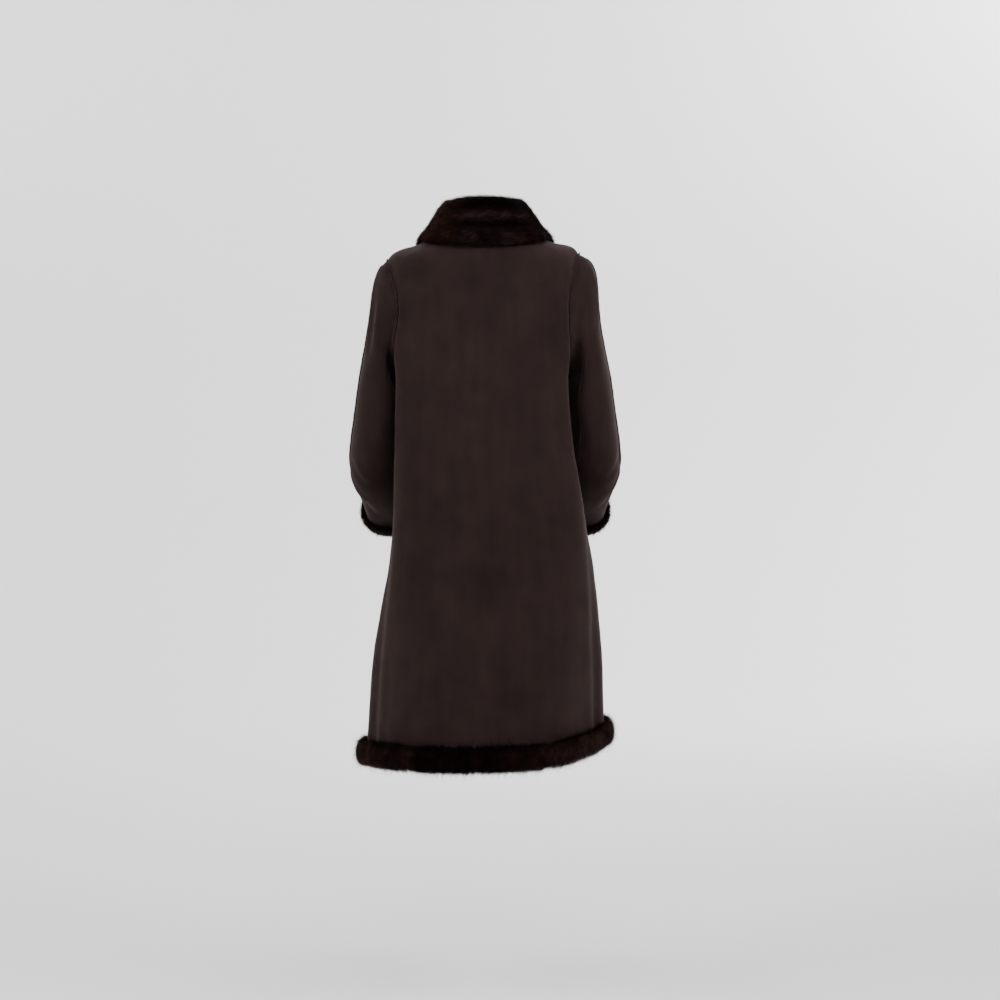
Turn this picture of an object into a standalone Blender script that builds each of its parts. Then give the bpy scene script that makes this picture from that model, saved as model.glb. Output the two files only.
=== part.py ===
"""A long suede coat with rolled fur trim, hollow and standing as it is worn, best seen from behind.

Metres, +Z up, +X the wearer's left, -Y the wearer's front. The origin lies inside the neck at the
height where the shoulder seams leave the collar, which is where a wearer's shoulders carry the coat.

The cloth is one smooth form, cut into the panels that a maker sews: a back, two fronts and two
halves for each sleeve. The form is worked out from BODY, one row for each section round the body,
and from SLEEVE, one row for each section along an arm. Fur trim is a plain solid of its reach.
"""

import math
from collections import defaultdict, namedtuple

import bpy
from mathutils import Vector

# ---------------------------------------------------------------- driving dimensions
WALL = 0.003  # suede with the short fur on its inner side
SEAM_GAP = 0.0005  # clear space between two panels along a seam
LIE_GAP = 0.0005  # clear space under a trim piece that lies on a panel
FUR_ROLL = 0.022  # the rolled hem: its reach, in which ROLL_SECTION is given
CUFF_ROLL = 0.013  # the same at the cuffs
COLLAR_HALF = 0.0062  # half the thickness of the turned-down fur collar
# Seams whose raw edges stand up outside: how high, how wide, and the clear space under them.
Welt = namedtuple("Welt", "height width gap")
ARMHOLE_WELT = Welt(0.0055, 0.0020, 0.0009)
SLEEVE_WELT = Welt(0.0045, 0.0022, 0.0007)
SIDE_WELT = Welt(0.0030, 0.0022, 0.0007)

# ---------------------------------------------------------------- the body's sections
# Going round a section, q is 0 at the centre back, 1 at the shoulder blade, 2 at the corner where
# the back turns to the side, 3 at the side seam, 4 at the chest and 5 at the centre front. A
# negative q is the wearer's right.
Section = namedtuple(
    "Section",
    "back_z left_z right_z front_z back_y corner_y left_corner right_corner "
    "left_side right_side chest_x chest_y front_y",
)
BODY = (
    # hem, where the suede ends inside the fur roll
    Section(
        -1.002, -1.008, -0.963, -0.995,
        0.206, 0.103, 0.200, 0.202, 0.230, 0.229, 0.160, -0.134, -0.190,
    ),
    # knee
    Section(
        -0.800, -0.802, -0.796, -0.800,
        0.190, 0.098, 0.190, 0.199, 0.216, 0.226, 0.150, -0.128, -0.180,
    ),
    # thigh
    Section(
        -0.620, -0.620, -0.620, -0.620,
        0.168, 0.094, 0.176, 0.195, 0.184, 0.206, 0.137, -0.118, -0.166,
    ),
    # hip
    Section(
        -0.500, -0.500, -0.500, -0.500,
        0.152, 0.088, 0.175, 0.189, 0.166, 0.172, 0.122, -0.112, -0.156,
    ),
    # waist
    Section(
        -0.380, -0.380, -0.380, -0.380,
        0.140, 0.085, 0.174, 0.170, 0.157, 0.153, 0.118, -0.108, -0.147,
    ),
    # underarm, where the armhole is lowest
    Section(
        -0.245, -0.245, -0.245, -0.245,
        0.132, 0.084, 0.173, 0.161, 0.150, 0.147, 0.119, -0.104, -0.143,
    ),
    # across the shoulder blades, halfway up the armhole
    Section(
        -0.130, -0.130, -0.130, -0.150,
        0.126, 0.072, 0.170, 0.166, 0.194, 0.188, 0.142, -0.074, -0.137,
    ),
    # shoulder points, where the armhole is highest
    Section(
        -0.045, -0.022, -0.009, -0.095,
        0.109, 0.062, 0.168, 0.162, 0.193, 0.186, 0.150, -0.064, -0.123,
    ),
    # yoke, under the collar's outer edge
    Section(
        0.000, 0.009, 0.013, -0.072,
        0.095, 0.055, 0.115, 0.114, 0.132, 0.131, 0.104, -0.060, -0.107,
    ),
    # neck seam
    Section(
        0.036, 0.032, 0.034, -0.050,
        0.073, 0.042, 0.072, 0.072, 0.083, 0.083, 0.064, -0.056, -0.087,
    ),
)
HEM, KNEE, THIGH, HIP, WAIST, UNDERARM, BLADES, SHOULDER, YOKE, NECK = range(len(BODY))
# The top of the collar's stand, in the same form as a row of BODY.
STAND_TOP = Section(
    0.085, 0.078, 0.080, -0.022,
    0.065, 0.039, 0.060, 0.057, 0.071, 0.066, 0.055, -0.053, -0.091,
)
SIDE_Y = -0.005  # the side seams lie this far forward of the shoulders' middle
BLADE_X_SHARE = 0.58  # the shoulder blade point, between the centre back and the corner
BLADE_Y_SHARE = 0.20
HEIGHT_BLEND = (1.0, 0.85, 0.45, 0.0, 0.5, 1.0)  # how much of back_z or front_z rules at each q

# The largest folds: where on the section, its half width there, how far it stands out, and the
# rows of BODY where it starts and where it has died away.
Fold = namedtuple("Fold", "q half_width depth low high")
FOLDS = (
    Fold(-2.55, 0.42, 0.008, HEM, 3.1),
    Fold(2.62, 0.40, 0.006, HEM, 2.8),
    Fold(-1.05, 0.60, 0.004, HEM, 2.4),
    Fold(0.55, 0.60, 0.003, HEM, 2.0),
    Fold(3.75, 0.40, 0.008, HEM, 3.0),
    Fold(-3.80, 0.40, 0.009, HEM, 3.3),
    Fold(-4.45, 0.30, 0.005, HEM, 2.2),
    Fold(4.50, 0.30, 0.006, HEM, 2.4),
)

# ---------------------------------------------------------------- the armhole and the sleeve
ARMHOLE_STEPS = 16  # round the armhole, and so round the sleeve
ARMHOLE_BACK_REACH = 1.0  # how far in q the armhole cuts into the back
ARMHOLE_FRONT_REACH = 0.92
# One row for each section along an arm, from just under the armhole to the cuff. tilt is the
# angle of the arm from straight down towards the front, in degrees.
Arm = namedtuple("Arm", "x y z across deep tilt")
SLEEVE = (
    Arm(0.2095, -0.006, -0.280, 0.0440, 0.066, 3),
    Arm(0.2155, -0.008, -0.335, 0.0455, 0.066, 7),
    Arm(0.2205, -0.011, -0.385, 0.0475, 0.065, 16),
    Arm(0.2215, -0.023, -0.426, 0.0485, 0.061, 34),
    Arm(0.2150, -0.056, -0.457, 0.0490, 0.057, 48),
    Arm(0.2035, -0.104, -0.488, 0.0515, 0.053, 53),
    Arm(0.1915, -0.156, -0.524, 0.0540, 0.050, 54),
)
SLEEVE_ROUNDNESS = 2.25  # exponent of the sleeve's oval
# The sleeve heads: how strongly the cloth leaves the top of the armhole outwards and downwards,
# how far it falls in again below, and how much fuller the head is in front.
Head = namedtuple("Head", "out down hollow front")
HEADS = {1: Head(0.17, 0.09, 0.011, 0.06), -1: Head(0.26, 0.09, 0.021, 0.0)}
HEAD_OUT_UNDERARM = 0.07
HEAD_RINGS = (0, 0.12, 0.28, 0.52, 0.77)  # shares of the way from the armhole to the arm
ARM_STEPS = 10  # rings from there to the cuff

# ---------------------------------------------------------------- where the panels are cut
BACK_COLUMNS = 18
FRONT_COLUMNS = 6
SKIRT_ROWS = (0, 0.25, 0.75, 1.25, 1.75, 2.25, 2.75, 3.25, 3.75, 4.15, 4.5, 4.75, UNDERARM)
YOKE_STEPS = 4
FRONT_EDGE_AT_NECK = 5.0  # q of the front edges, which part a little towards the hem
FRONT_EDGE_AT_HEM = 4.975

# ---------------------------------------------------------------- the collar
COLLAR_END_TOP = 4.93  # q where the collar ends at the centre front, along its fold
COLLAR_END_EDGE = 4.40  # and along its outer edge
COLLAR_EDGE_ROWS = (8.0, 8.0, 8.05, 8.18, 7.7, 6.5)  # where on BODY that edge lies, back to front
COLLAR_STATIONS = 30
COLLAR_SECTION_STEPS = 6
COLLAR_ROLL_OUT = 0.019
COLLAR_ROLL_UP = 0.005
COLLAR_LIE_UP = 0.030
COLLAR_LIE_OUT = 0.012
COLLAR_ROUND = 0.75  # how far the rounded fold and edge stand past the middle line, in halves

# ---------------------------------------------------------------- rolled fur edges
# Sections of the rolls: out from the suede's outer face, and up from the suede's lower edge, as
# shares of the roll's reach. The foot passes under the edge and a little way up inside.
ROLL_SECTION = (
    (0.02, 1.38),
    (0.36, 1.50),
    (0.70, 1.22),
    (0.86, 0.60),
    (0.82, -0.12),
    (0.56, -0.55),
    (0.13, -0.72),
    (-0.28, -0.56),
    (-0.46, -0.22),
)

SUEDE_COLOUR = (0.028, 0.019, 0.018, 1.0)
FUR_COLOUR = (0.010, 0.005, 0.004, 1.0)


# ---------------------------------------------------------------- small helpers
def lerp(a, b, t):
    return a + (b - a) * t


def smooth(t):
    t = min(max(t, 0.0), 1.0)
    return t * t * (3 - 2 * t)


def along(values, t):
    """A smooth curve through values at t = 0, 1, 2 and so on. Values are numbers or vectors."""
    last = len(values) - 1
    i = min(max(int(math.floor(t)), 0), last - 1)
    f = t - i
    p1, p2 = values[i], values[i + 1]
    p0 = values[i - 1] if i > 0 else p1 * 2 - p2
    p3 = values[i + 2] if i + 2 <= last else p2 * 2 - p1
    return (
        p1
        + (p2 - p0) * (0.5 * f)
        + (p0 * 2 - p1 * 5 + p2 * 4 - p3) * (0.5 * f * f)
        + (p1 * 3 - p0 - p2 * 3 + p3) * (0.5 * f * f * f)
    )


def material(name, colour, roughness):
    made = bpy.data.materials.new(name)
    made.use_nodes = True
    shader = made.node_tree.nodes["Principled BSDF"]
    shader.inputs["Base Color"].default_value = colour
    shader.inputs["Roughness"].default_value = roughness
    shader.inputs["Metallic"].default_value = 0.0
    return made


def add_object(name, points, faces, finish):
    mesh = bpy.data.meshes.new(name)
    mesh.from_pydata([tuple(p) for p in points], [], faces)
    mesh.materials.append(finish)
    mesh.shade_smooth()
    mesh.set_sharp_from_angle(angle=math.radians(50))
    obj = bpy.data.objects.new(name, mesh)
    bpy.context.scene.collection.objects.link(obj)
    return obj


# ---------------------------------------------------------------- the form of the body
def section_points(row):
    """The control points round one section, from the right front edge to the left front edge."""
    found = {}
    for side, corner, flank, side_z in (
        (1, row.left_corner, row.left_side, row.left_z),
        (-1, row.right_corner, row.right_side, row.right_z),
    ):
        shape = (
            (0.0, row.back_y, row.back_z),
            (corner * BLADE_X_SHARE, lerp(row.back_y, row.corner_y, BLADE_Y_SHARE), row.back_z),
            (corner, row.corner_y, row.back_z),
            (flank, SIDE_Y, side_z),
            (row.chest_x, row.chest_y, row.front_z),
            (0.0, row.front_y, row.front_z),
        )
        for q, (x, y, end_z) in enumerate(shape):
            z = lerp(side_z, end_z, HEIGHT_BLEND[q])
            found[side * q] = Vector((side * x, y, z))
    # One more point past each front edge keeps the curve level across the centre front.
    found[6], found[-6] = found[-4], found[4]
    return [found[q] for q in range(-6, 7)]


def section_point(row, q):
    return along(section_points(row), q + 6)


def fold_depth(q, station):
    total = 0.0
    for fold in FOLDS:
        apart = (q - fold.q) / fold.half_width
        fade = smooth((fold.high - station) / (fold.high - fold.low))
        total += fold.depth * fade * math.exp(-2 * apart * apart)
    return total


def body_point(q, station):
    """A point of the suede's outer face: q goes round the body, station up the rows of BODY."""
    point = along([section_point(row, q) for row in BODY], station)
    out = Vector((point.x, point.y, 0.0)).normalized()
    return point + out * fold_depth(q, station)


def armhole_place(turn):
    """(q, station) on the armhole: turn is 0 at the shoulder, pi/2 at the back, pi underneath."""
    reach = ARMHOLE_BACK_REACH if math.sin(turn) > 0 else ARMHOLE_FRONT_REACH
    return 3 - reach * math.sin(turn), BLADES + math.cos(turn)


def panel_edge(station_row, front):
    """q of a body panel's outer edge at each of its rows, and the row's station."""
    kind, value = station_row
    if kind != "armhole":
        return 3.0, value
    turn = 2 * math.pi - value if front else value
    return armhole_place(turn)


def body_rows():
    rows = [("side", station) for station in SKIRT_ROWS[:-1]]
    half = ARMHOLE_STEPS // 2
    rows += [("armhole", math.pi * (half - k) / half) for k in range(half + 1)]
    rows += [("side", lerp(SHOULDER, NECK, k / YOKE_STEPS)) for k in range(1, YOKE_STEPS + 1)]
    return rows


def front_edge(station):
    return lerp(FRONT_EDGE_AT_HEM, FRONT_EDGE_AT_NECK, station / NECK)


def back_grid():
    grid = []
    for row in body_rows():
        edge, station = panel_edge(row, front=False)
        places = [lerp(-edge, edge, c / BACK_COLUMNS) for c in range(BACK_COLUMNS + 1)]
        grid.append([body_point(q, station) for q in places])
    return grid


def front_grid(side):
    """Columns run the way q grows: from the side seam on the left, to it on the right."""
    grid = []
    for row in body_rows():
        edge, station = panel_edge(row, front=True)
        places = [lerp(edge, front_edge(station), c / FRONT_COLUMNS) for c in range(FRONT_COLUMNS + 1)]
        points = [body_point(side * q, station) for q in places]
        grid.append(points if side > 0 else points[::-1])
    return grid


# ---------------------------------------------------------------- the form of the sleeves
def armhole_point(side, turn):
    q, station = armhole_place(turn)
    return body_point(side * q, station)


def arm_point(side, turn, place):
    """A point on the sleeve at a place along the rows of SLEEVE; turn 0 is the outer seam."""
    row = Arm(*(along([getattr(arm, name) for arm in SLEEVE], place) for name in Arm._fields))
    power = 2 / SLEEVE_ROUNDNESS
    across = math.copysign(abs(math.cos(turn)) ** power, math.cos(turn)) * row.across
    back = math.copysign(abs(math.sin(turn)) ** power, math.sin(turn)) * row.deep
    tilt = math.radians(row.tilt)
    return Vector(
        (
            side * (row.x + across),
            row.y + back * math.cos(tilt),
            row.z - back * math.sin(tilt),
        )
    )


def cap_point(side, turn, share):
    """The sleeve head: leaves the armhole sideways and turns down into the arm."""
    head = HEADS[side]
    start, end = armhole_point(side, turn), arm_point(side, turn, 0)
    top = (1 + math.cos(turn)) / 2
    out = lerp(HEAD_OUT_UNDERARM, head.out, top) + head.front * max(0.0, -math.sin(turn))
    leave = Vector((side * out, 0.0, -lerp(0.01, head.down, top) - 0.08 * math.sin(turn) ** 2))
    arrive = Vector((side * 0.035 * top, 0.0, -lerp(0.05, 0.27, top)))
    s = share
    place = (
        start * (2 * s**3 - 3 * s**2 + 1)
        + leave * (s**3 - 2 * s**2 + s)
        + end * (3 * s**2 - 2 * s**3)
        + arrive * (s**3 - s**2)
    )
    place.x -= side * head.hollow * top * top * math.sin(math.pi * s) ** 2
    return place


def sleeve_grid(side, first_turn):
    """Half a sleeve, from the armhole to the cuff; first_turn is the step of its first column."""
    half = ARMHOLE_STEPS // 2
    turns = [2 * math.pi * (first_turn + k) / ARMHOLE_STEPS for k in range(half + 1)]
    grid = []
    for share in HEAD_RINGS:
        grid.append([cap_point(side, turn, share) for turn in turns])
    for ring in range(ARM_STEPS + 1):
        place = (len(SLEEVE) - 1) * ring / ARM_STEPS
        grid.append([arm_point(side, turn, place) for turn in turns])
    return grid


def stand_grid():
    """The collar's stand, from the neck seam to the fold, on the columns of the panels' top rows."""
    back, left, right = (g[-1] for g in (back_grid(), front_grid(1), front_grid(-1)))
    edge = front_edge(NECK)
    back_q = [lerp(-3, 3, c / BACK_COLUMNS) for c in range(BACK_COLUMNS + 1)]
    front_q = [lerp(3, edge, c / FRONT_COLUMNS) for c in range(FRONT_COLUMNS + 1)]
    places = [-q for q in reversed(front_q)] + back_q[1:] + front_q[1:]
    seam = right + back[1:] + left[1:]
    top = [section_point(STAND_TOP, q) for q in places]
    middle = [(a + b) / 2 for a, b in zip(seam, top)]
    return [seam, middle, top]


# ---------------------------------------------------------------- walls from the form
Panel = namedtuple("Panel", "name grid facing finish")


def key(point):
    return tuple(round(c * 1e6) for c in point)


def quads(grid, facing):
    for i in range(len(grid) - 1):
        for j in range(len(grid[0]) - 1):
            corners = ((i, j), (i + 1, j), (i + 1, j + 1), (i, j + 1))
            yield corners if facing > 0 else corners[::-1]


def seam_normals(panels):
    """One outward normal for each point of the form, shared by every panel that meets there."""
    total = defaultdict(Vector)
    for panel in panels:
        for corners in quads(panel.grid, panel.facing):
            a, b, c, d = (panel.grid[i][j] for i, j in corners)
            normal = (c - a).cross(d - b).normalized()
            for before, point, after in ((d, a, b), (a, b, c), (b, c, d), (c, d, a)):
                total[key(point)] += normal * (before - point).angle(after - point)
    return {place: normal.normalized() for place, normal in total.items()}


def seam_shift(panel, normals, i, j):
    """How a panel's edge point moves in from the seam line, so that the panels don't touch."""
    grid = panel.grid
    rows, columns = len(grid), len(grid[0])
    normal = normals[key(grid[i][j])]
    shift = Vector()
    if i in (0, rows - 1):
        tangent = (grid[i][min(j + 1, columns - 1)] - grid[i][max(j - 1, 0)]).normalized()
        shift += tangent.cross(normal) * (1 if i == 0 else -1)
    if j in (0, columns - 1):
        tangent = (grid[min(i + 1, rows - 1)][j] - grid[max(i - 1, 0)][j]).normalized()
        shift += normal.cross(tangent) * (1 if j == 0 else -1)
    return shift * (panel.facing * SEAM_GAP / 2)


def panel_faces(panel, normals):
    """Outer and inner points of a panel's wall."""
    outer, inner = [], []
    for i, line in enumerate(panel.grid):
        shifts = [seam_shift(panel, normals, i, j) for j in range(len(line))]
        outer.append([p + s for p, s in zip(line, shifts)])
        inner.append([p + s - normals[key(p)] * WALL for p, s in zip(line, shifts)])
    return outer, inner


def add_wall(panel, normals):
    outer, inner = panel_faces(panel, normals)
    rows, columns = len(outer), len(outer[0])
    points = [p for line in outer for p in line] + [p for line in inner for p in line]
    half = rows * columns

    def at(i, j, layer):
        return layer * half + i * columns + j

    faces = []
    for corners in quads(panel.grid, panel.facing):
        faces.append([at(i, j, 0) for i, j in corners])
        faces.append([at(i, j, 1) for i, j in reversed(corners)])
    rim = [(0, j) for j in range(columns)]
    rim += [(i, columns - 1) for i in range(1, rows)]
    rim += [(rows - 1, j) for j in range(columns - 2, -1, -1)]
    rim += [(i, 0) for i in range(rows - 2, 0, -1)]
    if panel.facing > 0:
        rim.reverse()
    for a, b in zip(rim, rim[1:] + rim[:1]):
        a_out, a_in, b_in, b_out = at(*a, 0), at(*a, 1), at(*b, 1), at(*b, 0)
        # The diagonal follows the places, so that both panels at a seam are cut the same way.
        if key(panel.grid[a[0]][a[1]]) < key(panel.grid[b[0]][b[1]]):
            faces += [[a_out, a_in, b_in], [a_out, b_in, b_out]]
        else:
            faces += [[a_out, a_in, b_out], [a_in, b_in, b_out]]
    return add_object(panel.name, points, faces, panel.finish)


# ---------------------------------------------------------------- lofted trim
def add_loft(name, loops, finish, ring=False):
    """A solid through closed loops of points, as a ring or with a cap at each end."""
    count = len(loops[0])
    points = [p for loop in loops for p in loop]
    faces = []
    pairs = len(loops) if ring else len(loops) - 1
    for i in range(pairs):
        k = (i + 1) % len(loops)
        for j in range(count):
            n = (j + 1) % count
            faces.append([i * count + j, i * count + n, k * count + n, k * count + j])
    if not ring:
        faces.append(list(range(count))[::-1])
        faces.append([(len(loops) - 1) * count + j for j in range(count)])
    volume = 0.0
    for face in faces:
        first = Vector(points[face[0]])
        for b, c in zip(face[1:], face[2:]):
            volume += first.dot(Vector(points[b]).cross(Vector(points[c])))
    if volume < 0:
        faces = [face[::-1] for face in faces]
    return add_object(name, points, faces, finish)


def roll_loop(edge, above, normal, reach, lift):
    """One section of a rolled fur edge, round the lower edge of a suede wall."""
    up = above - edge
    up -= normal * up.dot(normal)
    up.normalize()
    loop = [edge + normal * (out * reach) + up * (high * reach) for out, high in ROLL_SECTION]
    loop[0] = edge + normal * lift + up * (ROLL_SECTION[0][1] * reach)
    loop.append(edge - normal * (-ROLL_SECTION[-1][0] * reach) - up * lift)
    loop.append(edge + normal * lift - up * lift)
    return loop


def add_roll(name, edge, above, normals, reach, finish, ring=False):
    loops = []
    for place, over in zip(edge, above):
        loops.append(roll_loop(place, over, normals[key(place)], reach, LIE_GAP))
    if not ring:
        for end, neighbour in ((0, 1), (-1, -2)):
            step = (edge[neighbour] - edge[end]).normalized() * (SEAM_GAP / 2)
            loops[end] = [p + step for p in loops[end]]
    return add_loft(name, loops, finish, ring)


def add_welt(name, line, on_one_side, on_other_side, normals, welt, finish):
    """A seam whose raw edges stand up: a narrow strip on the seam line, its feet on the panels."""
    loops = []
    for i, place in enumerate(line):
        tangent = (line[min(i + 1, len(line) - 1)] - line[max(i - 1, 0)]).normalized()
        normal = normals[key(place)]
        feet, rises = [], []
        for neighbour in (on_one_side[i], on_other_side[i]):
            along_panel = neighbour - place
            along_panel = (along_panel - tangent * along_panel.dot(tangent)).normalized()
            lift = tangent.cross(along_panel)
            if lift.dot(normal) < 0:
                lift.negate()
            # Up along the shared normal, as far as keeps the gap square to the panel.
            rises.append(welt.gap / max(lift.dot(normal), 0.3))
            feet.append(place + along_panel * (welt.width / 2) + normal * rises[-1])
        across = (feet[1] - feet[0]).normalized() * (welt.width * 0.35)
        top = place + normal * welt.height
        middle = place + normal * max(rises)
        loops.append([feet[0], middle, feet[1], top + across, top - across])
    return add_loft(name, loops, finish)


# ---------------------------------------------------------------- the collar's fall
def collar_row(share):
    """The row of BODY that the collar's outer edge lies on; share is 0 at the back, 1 in front."""
    return along(COLLAR_EDGE_ROWS, share * (len(COLLAR_EDGE_ROWS) - 1))


def body_normal(q, station):
    step = 0.05
    across = body_point(q + step, station) - body_point(q - step, station)
    up = body_point(q, station + step) - body_point(q, station - step)
    return up.cross(across).normalized()


def fall_centreline(u):
    """The middle of the collar's thickness, from its fold to its outer edge; u is -1 to 1."""
    top_q, edge_q = u * COLLAR_END_TOP, u * COLLAR_END_EDGE
    row = collar_row(abs(u))
    top = section_point(STAND_TOP, top_q)
    ahead, behind = section_point(STAND_TOP, top_q + 0.05), section_point(STAND_TOP, top_q - 0.05)
    tangent = (ahead - behind).normalized()
    out = (top - section_point(BODY[NECK], top_q)).cross(tangent).normalized()
    rise = tangent.cross(out)
    fold = top + rise * (COLLAR_HALF + 2 * LIE_GAP)
    normal = body_normal(edge_q, row)
    edge = body_point(edge_q, row) + normal * (COLLAR_HALF + 2 * LIE_GAP)
    leave = fold + out * COLLAR_ROLL_OUT + rise * COLLAR_ROLL_UP
    up_the_body = body_point(edge_q, row + 0.3) - body_point(edge_q, row)
    arrive = edge + up_the_body.normalized() * COLLAR_LIE_UP + normal * COLLAR_LIE_OUT
    points = []
    for k in range(COLLAR_SECTION_STEPS + 1):
        t = k / COLLAR_SECTION_STEPS
        s = 1 - t
        points.append(fold * s**3 + leave * (3 * s * s * t) + arrive * (3 * s * t * t) + edge * t**3)
    return points


def fall_loop(u):
    """A closed section of the collar's fall: both faces of the fur, round at the fold and the edge."""
    middle = fall_centreline(u)
    ahead, behind = fall_centreline(min(u + 0.02, 1.02)), fall_centreline(max(u - 0.02, -1.02))
    sideways = (ahead[3] - behind[3]).normalized()
    over, under = [], []
    for i, place in enumerate(middle):
        down = (middle[min(i + 1, len(middle) - 1)] - middle[max(i - 1, 0)]).normalized()
        out = down.cross(sideways).normalized() * COLLAR_HALF
        over.append(place + out)
        under.append(place - out)
    first = (middle[0] - middle[1]).normalized() * (COLLAR_HALF * COLLAR_ROUND)
    last = (middle[-1] - middle[-2]).normalized() * (COLLAR_HALF * COLLAR_ROUND * 0.9)
    out_top, out_end = (over[0] - middle[0]) * 0.6, (over[-1] - middle[-1]) * 0.6
    round_top = [middle[0] + first - out_top, middle[0] + first + out_top]
    round_end = [middle[-1] + last + out_end, middle[-1] + last - out_end]
    return round_top + over + round_end + under[::-1]


# ---------------------------------------------------------------- the coat
def build():
    suede = material("suede", SUEDE_COLOUR, 0.85)
    fur = material("fur", FUR_COLOUR, 0.6)
    half = ARMHOLE_STEPS // 2
    panels = [
        Panel("back", back_grid(), 1, suede),
        Panel("front_left", front_grid(1), 1, suede),
        Panel("front_right", front_grid(-1), 1, suede),
        Panel("collar_stand", stand_grid(), 1, suede),
    ]
    for side, word in ((1, "left"), (-1, "right")):
        panels.append(Panel(f"sleeve_back_{word}", sleeve_grid(side, 0), side, suede))
        panels.append(Panel(f"sleeve_front_{word}", sleeve_grid(side, half), side, suede))
    normals = seam_normals(panels)
    grids = {panel.name: panel.grid for panel in panels}
    for panel in panels:
        add_wall(panel, normals)

    for name in ("back", "front_left", "front_right"):
        grid = grids[name]
        add_roll(f"hem_fur_{name}", grid[0], grid[1], normals, FUR_ROLL, fur)
    stations = [lerp(-1, 1, k / COLLAR_STATIONS) for k in range(COLLAR_STATIONS + 1)]
    add_loft("collar_fall", [fall_loop(u) for u in stations], fur)

    for side, word in ((1, "left"), (-1, "right")):
        halves = [grids[f"sleeve_back_{word}"], grids[f"sleeve_front_{word}"]]
        edge = halves[0][-1] + halves[1][-1][1:-1]
        above = halves[0][-2] + halves[1][-2][1:-1]
        add_roll(f"cuff_fur_{word}", edge, above, normals, CUFF_ROLL, fur, ring=True)
        edge, inner = (-1, -2) if side > 0 else (0, 1)
        ahead_edge, ahead_inner = (0, 1) if side > 0 else (-1, -2)
        first = len(SKIRT_ROWS) - 1
        seam, panel_side = [], []
        for grid, column, next_in, steps in (
            (grids["back"], edge, inner, range(2, half + 1)),
            (grids[f"front_{word}"], ahead_edge, ahead_inner, range(half - 1, 1, -1)),
        ):
            for k in steps:
                seam.append(grid[first + k][column])
                # Near the top the rows run along the armhole, so the panel lies in the row above.
                above = 1 if k > half // 2 else 0
                panel_side.append(grid[first + k + above][next_in])
        ring = halves[0][1][: half - 1][::-1] + halves[1][1][::-1][1 : half - 1]
        add_welt(f"armhole_welt_{word}", seam, panel_side, ring, normals, ARMHOLE_WELT, suede)
        outer = [line[0] for line in halves[0][1:-1]]
        behind = [line[1] for line in halves[0][1:-1]]
        ahead = [line[-2] for line in halves[1][1:-1]]
        add_welt(f"sleeve_welt_{word}", outer, behind, ahead, normals, SLEEVE_WELT, suede)
        rows = range(1, len(SKIRT_ROWS) - 1)
        side_seam = [grids["back"][i][edge] for i in rows]
        behind = [grids["back"][i][inner] for i in rows]
        ahead = [grids[f"front_{word}"][i][ahead_inner] for i in rows]
        add_welt(f"side_welt_{word}", side_seam, behind, ahead, normals, SIDE_WELT, suede)


for old in list(bpy.data.objects):
    bpy.data.objects.remove(old)
build()
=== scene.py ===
"""A long suede coat with fur at its collar, cuffs and hem, empty and in the pose it is worn in.

Metres, +Z up, +X the wearer's left, -Y the wearer's front, the same frame as the solids.
"""

import math
from collections import namedtuple
from functools import partial

import bpy
import numpy as np
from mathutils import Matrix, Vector, kdtree


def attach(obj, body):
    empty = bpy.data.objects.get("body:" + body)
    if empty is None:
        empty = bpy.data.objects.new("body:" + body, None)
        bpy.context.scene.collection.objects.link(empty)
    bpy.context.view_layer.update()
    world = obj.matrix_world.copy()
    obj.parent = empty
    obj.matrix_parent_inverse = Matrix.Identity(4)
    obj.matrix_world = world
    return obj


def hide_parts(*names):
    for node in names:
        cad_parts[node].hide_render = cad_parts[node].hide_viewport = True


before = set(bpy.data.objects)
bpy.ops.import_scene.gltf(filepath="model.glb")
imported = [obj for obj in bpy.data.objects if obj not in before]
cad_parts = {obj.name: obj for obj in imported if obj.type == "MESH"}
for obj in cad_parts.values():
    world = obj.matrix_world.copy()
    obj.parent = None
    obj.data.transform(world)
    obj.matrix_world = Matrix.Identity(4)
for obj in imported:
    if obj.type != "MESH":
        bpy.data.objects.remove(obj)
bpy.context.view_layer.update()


# ================================================================ the suede panels
# A back, two fronts, two halves for each sleeve and the collar's stand, cut from brown suede that
# has short fur on its inner side. They are sewn edge to edge and hang in soft folds.
WALL = 0.003
SEAM_GAP = 0.0005

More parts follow.
